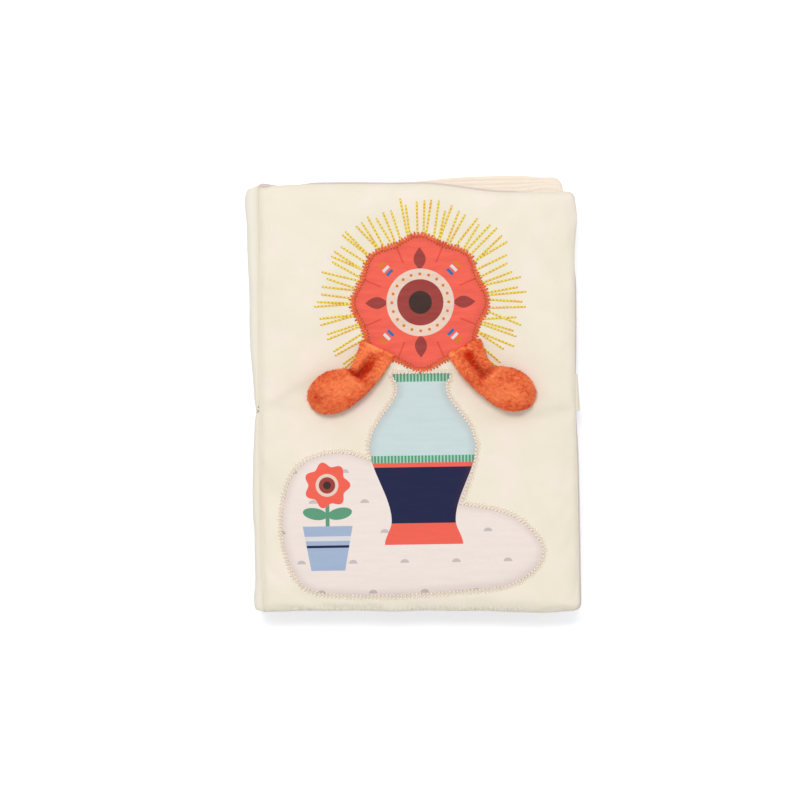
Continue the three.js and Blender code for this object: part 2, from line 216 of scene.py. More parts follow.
class Finish:
    """A material whose nodes are added by node()."""

    def __init__(self, name, **shader):
        self.material = bpy.data.materials.new(name)
        self.material.use_nodes = True
        self.tree = self.material.node_tree
        self.shader = self.tree.nodes["Principled BSDF"]
        for socket, value in shader.items():
            label = socket.replace("_", " ").title().replace("Ior", "IOR")
            self.shader.inputs[label].default_value = value

    def node(self, kind, settings, *inputs, out=0, **named):
        made = self.tree.nodes.new(kind)
        for setting, value in settings.items():
            setattr(made, setting, value)
        for key, value in [*enumerate(inputs), *named.items()]:
            socket = made.inputs[key]
            if isinstance(value, Value):
                self.tree.links.new(value.socket, socket)
            else:
                socket.default_value = value
        return Value(self, made.outputs[out])

    def attribute(self, name):
        """The values that mark() stored under this name."""
        return self.node("ShaderNodeAttribute", {"attribute_name": name}, out="Fac")

    def place(self):
        """The surface's own coordinates, in metres, as three values."""
        coordinates = self.node("ShaderNodeTexCoord", {}, out="Object")
        return [self.node("ShaderNodeSeparateXYZ", {}, coordinates, out=axis) for axis in "XYZ"]

    def noise(self, scale, detail=2.0, roughness=0.5, stretch=(1, 1, 1)):
        """Soft noise from 0 to 1, with scale repeats in a metre."""
        coordinates = self.node("ShaderNodeTexCoord", {}, out="Object")
        stretched = self.node("ShaderNodeMapping", {}, coordinates, Scale=stretch)
        return self.node(
            "ShaderNodeTexNoise", {}, stretched,
            Scale=scale, Detail=detail, Roughness=roughness, out="Fac",
        )

    def clamp(self, value):
        return self.node("ShaderNodeClamp", {}, value)

    def mix(self, share, under, over):
        """Colour over the one under it, where share is 1."""
        made = self.tree.nodes.new("ShaderNodeMix")
        made.data_type = "RGBA"
        for index, value in ((0, share), (6, under), (7, over)):
            if isinstance(value, Value):
                self.tree.links.new(value.socket, made.inputs[index])
            else:
                made.inputs[index].default_value = value
        return Value(self, made.outputs[2])

    def lay(self, ink, *layers):
        """Colours laid one over the other, each where its mask is 1."""
        for mask, tone in layers:
            ink = self.mix(mask, ink, tone)
        return ink

    def feed(self, socket, value):
        self.tree.links.new(value.socket, self.shader.inputs[socket])

    def bump(self, height, distance, strength=1.0):
        """Bends the light over the surface as this height would."""
        self.feed("Normal", self.node(
            "ShaderNodeBump", {}, Strength=strength, Distance=distance, Height=height, out="Normal",
        ))


def colour(red, green, blue):
    """A colour written as on a screen, from 0 to 255, as the shader needs it."""
    linear = [
        part / 12.92 if part <= 0.04045 else ((part + 0.055) / 1.055) ** 2.4
        for part in (red / 255, green / 255, blue / 255)
    ]
    return (*linear, 1.0)


# %% [markdown]
# ## The light, the floor and the camera
#
# The book was photographed from straight above on white paper, with soft light from beyond its
# top edge. A large lamp there and a pale world give that light. The paper shows white where it
# is lit and keeps the book's soft shadow along the bottom edge.

# %% Paper floor
PAPER_SIZE = 6.0
PAPER_SEEN, PAPER_GLOW = (0.965, 0.99, 1.0, 1), (0.325, 0.328, 0.35, 1)
select_only(None)
bpy.ops.mesh.primitive_plane_add(size=PAPER_SIZE, location=(0, 0, -0.0002))
paper = bpy.context.object
paper.name = "paper_floor"
paper_finish = Finish("white_paper", roughness=0.9, specular_ior_level=0.1)
rays = [
    paper_finish.node("ShaderNodeLightPath", {}, out=kind)
    for kind in ("Is Camera Ray", "Is Glossy Ray", "Is Transmission Ray")
]
seen = paper_finish.clamp(rays[0] + rays[1] + rays[2])
paper_finish.feed("Base Color", paper_finish.mix(seen, (0.8, 0.8, 0.8, 1), PAPER_SEEN))
paper_finish.feed("Emission Color", paper_finish.mix(seen, (0, 0, 0, 1), PAPER_GLOW))
paper_finish.shader.inputs["Emission Strength"].default_value = 1.0
paper.data.materials.append(paper_finish.material)
paper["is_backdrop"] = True

# %% World and lamp
WORLD_STRENGTH = 0.62
world = bpy.context.scene.world or bpy.data.worlds.new("studio")
bpy.context.scene.world = world
world.use_nodes = True
background = world.node_tree.nodes["Background"]
background.inputs["Color"].default_value = (1, 1, 1, 1)
background.inputs["Strength"].default_value = WORLD_STRENGTH

LAMP_PLACE, LAMP_SIZE, LAMP_POWER = (-0.15, 0.62, 2.0), (0.9, 0.5), 18.0
select_only(None)
bpy.ops.object.light_add(type="AREA", location=LAMP_PLACE)
lamp = bpy.context.object
lamp.name = "top_light"
lamp.data.shape = "RECTANGLE"
lamp.data.size, lamp.data.size_y = LAMP_SIZE
lamp.data.energy = LAMP_POWER
lamp.rotation_euler = (-Vector(LAMP_PLACE)).to_track_quat("-Z", "Y").to_euler()

# %% Camera
PIXEL = 0.5625 * MM
BOOK_TURN = math.radians(0.9)
MIDDLE_PIXEL = (414.6, 395.0)
FRAME_PIXELS = 800
CAMERA_HEIGHT = 2.4
cover_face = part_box("front_cover_velour")[1].z
off_centre = Matrix.Rotation(-BOOK_TURN, 2) @ Vector((
    (FRAME_PIXELS / 2 - MIDDLE_PIXEL[0]) * PIXEL,
    (MIDDLE_PIXEL[1] - FRAME_PIXELS / 2) * PIXEL,
))
select_only(None)
bpy.ops.object.camera_add(
    location=(off_centre.x, off_centre.y, CAMERA_HEIGHT), rotation=(0, 0, -BOOK_TURN)
)
camera = bpy.context.object
camera.data.sensor_width = 36.0
seen_width = FRAME_PIXELS * PIXEL
camera.data.lens = camera.data.sensor_width * (CAMERA_HEIGHT - cover_face) / seen_width
bpy.context.scene.camera = camera
print("lens", round(camera.data.lens, 1), "mm")

# %% [markdown]
# ## Cloth finishes
#
# Every cloth has a small even texture and a larger, fainter unevenness. Velour is a dense short
# pile: it looks soft because light catches the tips, which a sheen gives, and because the pile
# leans this way and that, which slow noise in the colour gives.

# %% Velour, lining, leaf cloth, tapes and threads
def velour(name, tone, shade, blush=None, depth=0.12 * MM, pressed_and_shade=None, gather_shade_and_light=None):
    """Short pile: fine grain, slow unevenness, a soft sheen, perhaps a second tone.

    Where the pressed_and_shade attribute is 1, the pressed_and_shade colour shows: painted shade
    in the creases and along the edges, and pile pressed flat round stitches. Where the
    gather_shade_and_light attribute is 1, small pleats run along Y as a bump, with a painted
    shade and a painted highlight in these two colours.
    """
    finish = Finish(name, roughness=0.95, sheen_weight=0.25, sheen_roughness=0.5,
                    specular_ior_level=0.2)
    fine = finish.noise(2600, detail=3, roughness=0.7)
    slow = finish.noise(70, detail=3)
    lean = finish.clamp(slow * 0.5 + fine * 0.5)
    ink = finish.mix(lean, shade, tone)
    if blush:
        wide = finish.noise(34, detail=2, roughness=0.6)
        ink = finish.mix(finish.clamp((wide - 0.46) * 5), ink, blush)
        smudge = finish.noise(85, detail=2, roughness=0.7)
        ink = finish.mix(finish.clamp((smudge - 0.62) * 5) * 0.5, ink, shade)
    # Painted shade, and pressed pile, in the pressed_and_shade colour
    if pressed_and_shade:
        flat = finish.attribute("pressed_and_shade")
        ink = finish.mix(flat, ink, pressed_and_shade)
    relief = fine
    if gather_shade_and_light:
        # Painted shade and painted highlight in streaks along the pleats, as well as the bump
        pull = finish.attribute("gather_shade_and_light")
        pleats = finish.noise(880, detail=2, roughness=0.6, stretch=(1, 0.26, 0.4))
        ink = finish.mix(pull * finish.clamp((pleats - 0.53) * 5), ink, gather_shade_and_light[0])
        ink = finish.mix(pull * finish.clamp((0.44 - pleats) * 5), ink, gather_shade_and_light[1])
        relief = fine + pull * pleats * 2.5
    finish.feed("Base Color", ink)
    finish.bump(relief, depth)
    return finish


def woven(name, tone, shade, threads=1800, depth=0.06 * MM):
    """Plain weave: fine ribs both ways."""
    finish = Finish(name, roughness=0.8, sheen_weight=0.1, specular_ior_level=0.25)
    warp, weft = [abs((way * threads * math.pi).math("SINE")) for way in finish.place()[:2]]
    slub = finish.noise(900, detail=2, stretch=(1, 0.15, 1))
    weave = (warp + weft) * 0.35 + slub * 0.5
    finish.feed("Base Color", finish.mix(finish.clamp(weave), shade, tone))
    finish.bump(weave, depth)
    return finish


# The cream that the cover shows as painted shade in creases and along edges, and where pile is
# pressed
PRESSED_AND_SHADED_CREAM = colour(230, 222, 205)
# The two gather colours are the pleats' painted shade and painted highlight
cover_velour = velour("cream_velour", colour(246, 239, 220), colour(238, 229, 209),
                      blush=colour(247, 235, 221), pressed_and_shade=PRESSED_AND_SHADED_CREAM,
                      gather_shade_and_light=(colour(208, 204, 188), colour(252, 249, 238)))
lining_cloth = woven("mauve_lining", colour(224, 210, 205), colour(205, 189, 184))
strap_cloth = velour("strap_velour", colour(245, 237, 220), colour(234, 226, 208))

# %% [markdown]
# ## Grids of cloth
#
# Cloth is easiest to shape as a grid whose points are then moved by sums. The rows lie close
# together near an edge, where a seam turns quickly, and further apart in the middle. Two such
# grids, joined along their border and swollen apart, make a pad.

# %% A flat grid, and rows that crowd towards the edges
def box_mm(node):
    """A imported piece's lowest and highest corner, in millimetres."""
    return [np.array(corner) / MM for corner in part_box(node)]


def crowded_rows(low, high, edge_rows, step):
    """Places from low to high: the edge rows at both ends, and even steps between them."""
    inner = high - low - 2 * edge_rows[-1]
    count = round(inner / step)
    middle = [edge_rows[-1] + inner * row / count for row in range(count + 1)]
    far_edge = [high - low - place for place in reversed(edge_rows[:-1])]
    return low + np.array([*edge_rows[:-1], *middle, *far_edge])


def cloth_grid(name, across, along):
    """A flat grid with lines at the given places, in millimetres."""
    select_only(None)
    bpy.ops.mesh.primitive_grid_add(
        x_subdivisions=len(across) - 1, y_subdivisions=len(along) - 1, size=2
    )
    piece = bpy.context.object
    piece.name = name
    square = points_of(piece)
    column = np.rint((square[:, 0] + 1) / 2 * (len(across) - 1)).astype(int)
    row = np.rint((square[:, 1] + 1) / 2 * (len(along) - 1)).astype(int)
    points = np.stack([across[column], along[row], np.zeros(len(square))], axis=1)
    return piece, points


def round_corners(points, low, high, left_radius, right_radius):
    """The points with the rectangle's corners on arcs, and how far each lies from its edge."""
    middle = (low + high) / 2
    half = (high - low) / 2
    local = points - middle
    radius = np.where(local[:, 0] < 0, left_radius, right_radius)[:, None]
    inner = half - radius
    across, along = np.clip((abs(local) - inner) / radius, 0, 1).T
    disc = np.stack([
        across * np.sqrt(1 - along ** 2 / 2), along * np.sqrt(1 - across ** 2 / 2)
    ], axis=1)
    moved = middle + np.sign(local) * (np.minimum(abs(local), inner) + disc * radius)
    in_corner = (across > 0) & (along > 0)
    corner_depth = radius[:, 0] * (1 - np.hypot(*disc.T))
    depth = np.where(in_corner, corner_depth, (half - abs(local)).min(axis=1))
    return moved, np.maximum(depth, 0)


def quarter_round(depth, run):
    """0 at an edge and 1 from the run inwards, along a quarter of an ellipse."""
    return np.sqrt(1 - (1 - np.clip(depth / run, 0, 1)) ** 2)


def sewn_pad(name, low, high, radii, edge_rows, step, shape):
    """A closed pad: an upper and a lower grid joined at their border. shape gives both."""
    halves = []
    for upper in (True, False):
        half, points = cloth_grid(
            name,
            crowded_rows(low[0], high[0], edge_rows, step),
            crowded_rows(low[1], high[1], edge_rows, step),
        )
        flat, depth = round_corners(points[:, :2], low[:2], high[:2], *radii)
        move_points(half, shape(flat, depth, upper) * MM)
        if not upper:
            half.data.flip_normals()
        halves.append(half)
    select_only(halves[0])
    halves[1].select_set(True)
    bpy.ops.object.join()
    weld(halves[0], 0.01)
    return halves[0]


# %% [markdown]
# ## Letting cloth settle
#
# Sewn padding swells until its cloth is tight, and the seams hold it down. Blender's cloth
# simulation does the same: the pad's own mesh is the cloth, a little larger than the pad, air
# pressure stands for the wadding, and the seams are pinned. No point may move further than a
# small cap, so the pad stays in its place.

# %% Cloth simulation with pinned seams
CLOTH_SETTINGS = {
    "quality": 5, "mass": 0.15, "tension_stiffness": 12, "compression_stiffness": 12,
    "shear_stiffness": 4, "bending_stiffness": 0.2, "air_damping": 3, "shrink_min": -0.01,
    "use_pressure": True, "uniform_pressure_force": 3.0,
}
SETTLE_FRAMES = 20


def settle(piece, free, cap):
    """Lets the cloth swell where free is 1 and holds it where free is 0."""
    start = points_of(piece)
    pins = piece.vertex_groups.new(name="pins")
    for index, share in enumerate(free):
        pins.add([index], 1 - share, "REPLACE")
    select_only(piece)
    cloth = piece.modifiers.new("Cloth", "CLOTH")
    for setting, value in CLOTH_SETTINGS.items():
        setattr(cloth.settings, setting, value)
    cloth.settings.vertex_group_mass = pins.name
    cloth.settings.effector_weights.gravity = 0
    cloth.collision_settings.use_collision = False
    for frame_number in range(1, SETTLE_FRAMES + 1):
        bpy.context.scene.frame_set(frame_number)
    bpy.ops.object.modifier_apply(modifier=cloth.name)
    bpy.context.scene.frame_set(1)
    piece.vertex_groups.clear()
    moved = points_of(piece) - start
    travel = np.linalg.norm(moved, axis=1)
    kept = cap * np.tanh(travel / cap) / np.maximum(travel, 1e-9)
    move_points(piece, start + moved * kept[:, None])
    print(piece.name, "swelled by up to", round(travel.max() / MM, 2), "mm, kept",
          round((travel * kept).max() / MM, 2))


# %% [markdown]
# ## The padded covers
#
# Each cover is a velour skin over wadding, sewn to its lining all round. The edge is a quarter
# round and the face has a low crown. A soft book has no straight edge: the fore edge draws in by
# the strap and stands out at the corners, the foot sags towards the fore edge, and there the
# front cover's top edge runs lower than the leaves behind it. Soft hills, each a bell curve
# round one place on the edge, describe all this.

# %% The covers' outline
FRONT_LOW, FRONT_HIGH = box_mm("front_cover_velour")
TOP_DIP = 6.0
DIP_START, DIP_END = 3.0, 56.0
FOOT_SAG = 2.8
HALF_HEIGHT = FRONT_HIGH[1]
# Each hill: height, middle and width, in millimetres
TOP_HILLS = ((0.7, -40, 50), (-0.7, -62, 18), (-0.9, -36, 22))
FOOT_HILLS = ((-1.2, -16, 48), (-1.0, 74, 11), (-0.8, -72, 16))
SIDE_HILL, FRONT_CORNER, BACK_CORNER = (0.8, 2, 34), (-1.7, 102, 14), (5.0, 118, 10)
SPINE_EDGE, CREASE_EDGE, CREASE_END = -93.0, -87.0, -62.0


def hill(value, middle, width):
    """1 in the middle and fading to 0 on both sides."""
    return np.exp(-((value - middle) / width) ** 2)


def hills(value, *rows):
    return sum(height * hill(value, middle, width) for height, middle, width in rows)


def bowed(points, dips):
    """The points with the edges drawn in or let out and, if it dips, a lower top."""
    x, y = points.T
    to_side = np.clip(x / FRONT_HIGH[0], 0, 1) ** 2
    to_end = np.clip(abs(y) / HALF_HEIGHT, 0, 1) ** 3
    side = hills(y, SIDE_HILL, FRONT_CORNER if dips else BACK_CORNER)
    dip = TOP_DIP * smoothstep(x, DIP_START, DIP_END) if dips else 1.5 * smoothstep(x, 40, 70)
    top = hills(x, *TOP_HILLS) + dip
    foot = hills(x, *FOOT_HILLS) - FOOT_SAG * smoothstep(x, -30, 66)
    foot = foot + 0.3 * np.sin(x / 13) + 0.2 * np.sin(x / 5.7 + 1)
    inwards = np.where(y > 0, top, foot)
    return np.stack([x - side * to_side, y - np.sign(y) * inwards * to_end], axis=1)


def crease_lean(points):
    """How far the crease beside the spine lies further out toward the foot, in millimetres."""
    x, y = points[..., 0], points[..., 1]
    near = smoothstep(x, SPINE_EDGE, CREASE_EDGE) * (1 - smoothstep(x, CREASE_EDGE, CREASE_END))
    return near * (1.25 * smoothstep(-y, -95, 50) - 0.7 * smoothstep(-y, 92, 116))


# %% The front cover's velour pad
COVER_EDGE_ROWS = (0, 0.25, 0.7, 1.3, 2.1, 3.1, 4.4, 6.0, 8.2)
COVER_RADII = (1.0, 4.2)
SEAM_RISE = 1.3
RIM_RUN = 4.9
CROWN, CROWN_RUN = 0.5, 25.0
UNDER_RUN, SPINE_RUN = 3.0, 0.3
VALLEY = 0.9
VALLEY_FLOOR, VALLEY_WIDTH = 0.9, 6.5
NOTCH_X = -83.0
NOTCH = (1.2, NOTCH_X, 3.2)
SPINE_TUCK = 0.5
PAD_INSET = 0.4
FLOWER_CENTRE = np.array([4.0, 52.0])
RAYS_RADIUS = 47.0
# Soft waves: size, seed and height
COVER_WAVES = ((38, 0, 0.6), (13, 4, 0.22))
RAYS_WAVES, GATHER_WAVES = (4.5, 9, 0.3), (3.6, 13, 0.3)
GRID_STEP, SWELL_CAP = 3.0, 0.9
# How strongly the cover shows its pressed_and_shade colour: painted shade beside the spine, at the
# foot's rim and in the folds, and pressed pile round the ray stitches
SPINE_CREASE_SHADE, UNDER_RAYS_PRESSED, FOOT_RIM_SHADE, FOLD_SHADE = (0.75, 1.0, 1.6), 0.35, 0.4, 0.4
GATHER_START, GATHER_END, GATHER_EDGE, GATHER_WIDTH = -72.0, 60.0, 0.6, 2.9


def cover_shape(low, high, dips):
    """The two faces of a cover pad whose outer face is up."""
    def shape(flat, depth, upper):
        x, y = bowed(flat, dips).T
        y = y - hills(x, NOTCH) * np.clip(y / HALF_HEIGHT, 0, 1) ** 12
        from_spine = flat[:, 0] - low[0]
        from_ends = np.minimum(high[1] - flat[:, 1], flat[:, 1] - low[1])
        open_depth = np.where(flat[:, 0] > 0, depth, from_ends)
        seam = low[2] + SEAM_RISE
        if upper:
            rim = quarter_round(open_depth, RIM_RUN)
            crown = CROWN * (1 - np.exp(-open_depth / CROWN_RUN))
            valley = VALLEY * (1 - smoothstep(from_spine, VALLEY_FLOOR, VALLEY_WIDTH))
            rise = high[2] - CROWN - seam - valley
            z = seam + (rise * rim + crown) * quarter_round(from_spine, SPINE_RUN)
        else:
            z = seam - SEAM_RISE * quarter_round(depth, UNDER_RUN)
        return np.stack([x, y, z], axis=1)
    return shape


def ripple(points, start, end, width, depth):
    """Height of a soft fold along a line on the cover, in millimetres."""
    line = np.array(end) - np.array(start)
    share = np.clip((points[:, :2] - start) @ line / (line @ line), 0, 1)
    off = np.linalg.norm(points[:, :2] - start - share[:, None] * line, axis=1)
    fade = np.sin(np.pi * np.clip(share, 0.02, 0.98)) ** 0.5
    return -depth * fade * np.exp(-(off / width) ** 2)


def waves(points, seed, size, number, height):
    return smooth_noise(points, size, seed + number, height)


def cover_pad(name, low, high, dips, folds, seed):
    pad_low = low + [-SPINE_TUCK, PAD_INSET, 0]
    pad_high = high - [PAD_INSET, PAD_INSET, 0]
    pad = sewn_pad(
        name, pad_low, pad_high, COVER_RADII, COVER_EDGE_ROWS, GRID_STEP,
        cover_shape(pad_low, pad_high, dips),
    )
    points = points_of(pad) / MM
    outer = (points[:, 2] > low[2] + SEAM_RISE + 0.6) & (points[:, 0] > low[0] + 1.5)
    settle(pad, outer * 0.96, SWELL_CAP * MM)
    points = points_of(pad) / MM
    outer = smoothstep(points[:, 2], low[2] + SEAM_RISE + 1, high[2] - 1)
    creases = sum(ripple(points, *fold) for fold in folds)
    lift = sum(waves(points, seed, *wave) for wave in COVER_WAVES) + creases
    under_rays = hill(np.hypot(*(points[:, :2] - FLOWER_CENTRE).T), RAYS_RADIUS, 9) * dips
    lift = lift + under_rays * waves(points, seed, *RAYS_WAVES)
    points[:, 2] += outer * lift
    # Painted shade in the valley beside the spine
    beside_spine = hills(points[:, 0] - low[0], SPINE_CREASE_SHADE)
    foot = bowed(np.stack([points[:, 0], np.full(len(points), pad_low[1])], axis=1), dips)[:, 1]
    from_foot = points[:, 1] - foot
    gathers = smoothstep(points[:, 0], GATHER_START - 4, GATHER_START + 4) * dips
    gathers = gathers * (1 - smoothstep(points[:, 0], GATHER_END - 6, GATHER_END + 6))
    gathers = gathers * hill(from_foot, GATHER_EDGE, GATHER_WIDTH)
    points[:, 2] += outer * gathers * waves(points * [1, 0.2, 0], seed, *GATHER_WAVES)
    if dips:
        points[:, 0] -= crease_lean(points)
    move_points(pad, points * MM)
    # Painted shade at the foot's rim and in the folds' troughs; these join the rays' pressed pile
    # in one attribute
    at_foot = FOOT_RIM_SHADE * (1 - smoothstep(from_foot, 0.5, 6))
    in_crease = np.clip(-FOLD_SHADE * creases, 0, 2 * FOLD_SHADE) * outer
    mark(pad, "pressed_and_shade", np.maximum.reduce([
        beside_spine, UNDER_RAYS_PRESSED * under_rays, at_foot, in_crease,
    ]))
    # Where the foot is gathered: the finish bumps the pleats and paints their shade and highlight
    mark(pad, "gather_shade_and_light", np.clip(gathers, 0, 1))
    apply_modifier(pad, "SUBSURF", levels=1, render_levels=1)
    return pad


# Each fold: its two ends, its width and its depth
FRONT_FOLDS = (
    ((95, -9.5), (42, -13.5), 2.3, 2.0),
    ((84, -5), (58, -3), 1.8, 0.6),
    ((-86, -8), (-54, 10), 2.8, 1.3),
    ((-80, -5), (-62, -8), 2.6, 0.9),
    ((-84, 60), (-74, 30), 4.0, 0.5),
    ((-84, -40), (-70, -62), 4.5, 0.4),
    ((66, 90), (84, 62), 3.5, 0.6),
    ((84, 108), (74, 94), 2.0, 0.5),
    ((-60, 104), (-34, 98), 4.0, 0.4),
    ((60, 112), (40, 96), 5.0, 0.35),
    ((80, -70), (64, -96), 5.0, 0.4),
)


def finish_cover(pad, side):
    finish_piece(pad, f"{side}_cover_velour_pad", cover_velour.material, f"{side}_cover",
                 "cover_velour", f"{side}_cover_velour", f"{side}_cover_wadding")


front_pad = cover_pad("front_cover_velour_pad", FRONT_LOW, FRONT_HIGH, True, FRONT_FOLDS, 3)
finish_cover(front_pad, "front")

# %% The back cover's velour pad, made face up and turned over
BACK_LOW, BACK_HIGH = box_mm("back_cover_velour")
BACK_FOLDS = (
    ((88, -2), (60, -4), 3.0, 0.5),
    ((-80, 80), (-62, 60), 5.0, 0.4),
    ((20, -110), (30, -90), 5.0, 0.4),
)
back_pad = cover_pad("back_cover_velour_pad", BACK_LOW, BACK_HIGH, False, BACK_FOLDS, 9)
turned = points_of(back_pad)
turned[:, 2] = (BACK_LOW[2] + BACK_HIGH[2]) * MM - turned[:, 2]
turned[:, 2] = np.maximum(turned[:, 2], 0.05 * MM)
move_points(back_pad, turned)
back_pad.data.flip_normals()
finish_cover(back_pad, "back")

# %% [markdown]
# ## The linings
#
# A mauve woven lining closes each cover on its inner face. It was cut a touch larger than the
# velour, so a thin line of it shows along the seam.

# %% Both linings
LINING_PROUD, LINING_HALF, LINING_STEP = 0.35, 0.36, 5.0
LINING_EDGE_ROWS = (0, 0.5, 1.4, 3.0, 6.0)


def lining(cover, dips, seed):
    node = f"{cover}_lining"
    low, high = box_mm(node)
    proud = np.array([LINING_PROUD, LINING_PROUD, 0])

    def shape(flat, depth, upper):
        x, y = bowed(flat, dips).T
        half = LINING_HALF if upper else -LINING_HALF
        z = (low[2] + high[2]) / 2 + half * quarter_round(depth, 0.6)
        wave = smooth_noise(np.stack([x, y, 0 * x], axis=1), 30, seed, 0.12)
        near_edge = np.exp(-depth / 4)
        beside = 0.9 * smoothstep(y, 60, 72) + 0.8 * hill(y, -5, 17)
        above = 1 - smoothstep(x, -66, -52) + smoothstep(x, 54, 66)
        above = 1.2 * above - 0.3 - 1.7 * hill(x, NOTCH_X, 4)
        x = x - near_edge * beside * smoothstep(x, 60, 85)
        y = y + near_edge * (0.9 * smoothstep(-y, 90, 112) - above * smoothstep(y, 90, 112))
        return np.stack([x, y, z + wave], axis=1)

    cloth = sewn_pad(f"{node}_cloth", low - proud * [0, 1, 0], high + proud, COVER_RADII,
                     LINING_EDGE_ROWS, LINING_STEP, shape)
    finish_piece(cloth, f"{node}_cloth", lining_cloth.material, cover, "lining_cloth", node)


lining("front_cover", True, 5)
lining("back_cover", False, 6)

# %% [markdown]
# ## The four crinkle leaves
#
# A leaf is two peach cloths round a sheet of film that crackles. They are sewn together a few
# millimetres from the edge, so a flat edge stands outside the stitching and the middle is full.
# The film keeps its creases, and these show through the cloth as small sharp wrinkles.

# %% Page cloth: plain peach
leaf_cloth = Finish("peach_page_cloth", roughness=0.85, sheen_weight=0.1, specular_ior_level=0.25)
grain = leaf_cloth.noise(1500, detail=3, roughness=0.6)
cloud = leaf_cloth.noise(25, detail=2)
page_tone = leaf_cloth.mix(
    leaf_cloth.clamp(grain * 0.5 + cloud * 0.6), colour(244, 228, 209), colour(252, 240, 225)
)
leaf_cloth.feed("Base Color", page_tone)
leaf_cloth.bump(grain, 0.05 * MM)

# %% Modelling a leaf
LEAF_EDGE_ROWS = (0, 0.2, 0.6, 1.2, 1.9, 2.5, 3.0, 3.5, 4.2, 5.4, 7.2, 9.4)
LEAF_SEAM = 3.0
LEAF_RADII = (3.0, 6.0)
LEAF_DRAW_IN = 0.8
LEAF_FAN = {4: 3.9, 3: 1.2, 2: -1.6, 1: -4.4}
CORNER_SET_BACK = 1.6
LEAF_STEP = 3.4
EDGE_SHARE, MIDDLE_SHARE, GROOVE, CREASE_HEIGHT = 0.56, 0.38, 0.09, 0.22
TIE_Y = -7.8


def spine_waist(y):
    """How far the book is drawn in at its spine, where a thread ties it."""
    dent = smoothstep(-y, 66, 78) - smoothstep(-y, 101, 113)
    top = 1.2 * hill(y, 110, 9)
    return 0.7 - 0.4 * smoothstep(y, 20, 90) + 2.0 * hill(y, TIE_Y, 26) + 0.9 * dent - top


def spine_tie(y):
    """The sharp notch that the tying thread pulls."""
    return np.clip(1 - abs(y - TIE_Y) / 7, 0, 1) ** 1.5


def slumped(flat, low, high, number):
    """A leaf's places as it lies: edges drawn in, top fanned out, tied in at the spine."""
    x, y = flat.T
    side, end = ((flat - (high + low)[:2] / 2) / (high - low)[:2] * 2).T
    right, top = np.clip(side, 0, 1), np.clip(end, 0, 1)
    fan = LEAF_FAN[number] * (smoothstep(x, -26, 38) - 0.4 * smoothstep(x, 62, 76))
    fan = fan - 1.7 * (1 - smoothstep(x, -70, -34))
    tied = (spine_waist(y) + spine_tie(y)) * np.clip(-side, 0, 1) ** 14
    drawn = LEAF_DRAW_IN * (1 - end ** 2) + CORNER_SET_BACK * top ** 6
    x = x + tied - drawn * right ** 2
    y = y - LEAF_DRAW_IN * np.sign(end) * abs(end) ** 3 * (1 - side ** 2) + fan * top ** 6
    return np.stack([x, y], axis=1)


def leaf_shape(low, high, number):
    """A leaf's two faces: a thin edge, a stitched groove and a full, crinkled middle."""
    middle = (low[2] + high[2]) / 2
    half = (high[2] - low[2]) / 2
    seed = 11 * number

    def shape(flat, depth, upper):
        x, y = slumped(flat, low, high, number).T
        full = EDGE_SHARE * quarter_round(depth, 1.3)
        full += MIDDLE_SHARE * smoothstep(depth, LEAF_SEAM, 10)
        full -= GROOVE * hill(depth, LEAF_SEAM, 0.7)
        face = 1 if upper else -1
        spots = np.stack([x, y, np.full(len(x), face * 40.0)], axis=1)
        crease = 1 - 2 * abs(smooth_noise(spots, 11, seed)) ** 0.7
        crease = crease * smoothstep(depth, 4, 16) * CREASE_HEIGHT
        wave = smooth_noise(np.stack([x, y, 0 * x], axis=1), 34, seed + 2, 0.22)
        return np.stack([x, y, middle + face * (half * full + crease) + wave], axis=1)
    return shape


def running_path(low, high, inset, radii):
    """A closed path inside a leaf's edge, in millimetres, with its corners rounded."""
    corners = [
        (low[0] + inset, low[1] + inset, radii[0]), (high[0] - inset, low[1] + inset, radii[1]),
        (high[0] - inset, high[1] - inset, radii[1]), (low[0] + inset, high[1] - inset, radii[0]),
    ]
    path = []
    for number, (x, y, radius) in enumerate(corners):
        turn = max(radius - inset, 0.5)
        centre_x = x + (turn if number in (0, 3) else -turn)
        centre_y = y + (turn if number in (0, 1) else -turn)
        for step in range(5):
            angle = math.pi * (1 + number / 2 + step / 8)
            path.append((centre_x + turn * math.cos(angle), centre_y + turn * math.sin(angle)))
    return np.array(path + path[:1])


leaf_pads, leaf_boxes = {}, {}
for number in (4, 3, 2, 1):
    leaf_low, leaf_high = box_mm(f"leaf_{number}_front_cloth")
    leaf_low[2] = box_mm(f"leaf_{number}_back_cloth")[0][2]
    leaf_boxes[number] = leaf_low, leaf_high
    leaf_pads[number] = sewn_pad(
        f"leaf_{number}_pad", leaf_low, leaf_high, LEAF_RADII, LEAF_EDGE_ROWS, LEAF_STEP,
        leaf_shape(leaf_low, leaf_high, number),
    )
    apply_modifier(leaf_pads[number], "SUBSURF", levels=1, render_levels=1)
    finish_piece(
        leaf_pads[number], f"leaf_{number}_pad", leaf_cloth.material, f"leaf_{number}",
        "leaf_cloth", f"leaf_{number}_back_cloth", f"leaf_{number}_crinkle_film",
        f"leaf_{number}_front_cloth",
    )

# %% [markdown]
# ## The spine
#
# One band of velour runs round the back of the leaves from cover to cover, and every leaf is
# sewn to it. The real spine bends between two leaves and nowhere else, so here it is made of
# five pieces, each from the middle of one leaf to the middle of the next, with one hinge in each.

# %% A band with a closed section, made from a rolled grid
def rolled(name, section, along):
    """A tube along Y: the grid's one side follows the section and closes on itself."""
    count = len(section)
    tube, points = cloth_grid(name, np.arange(count + 1.0), along)
    place = section[points[:, 0].astype(int) % count]
    moved = np.stack([place[:, 0], points[:, 1], place[:, 1]], axis=1)
    move_points(tube, moved * MM)
    weld(tube, 0.001, close=True)
    return tube


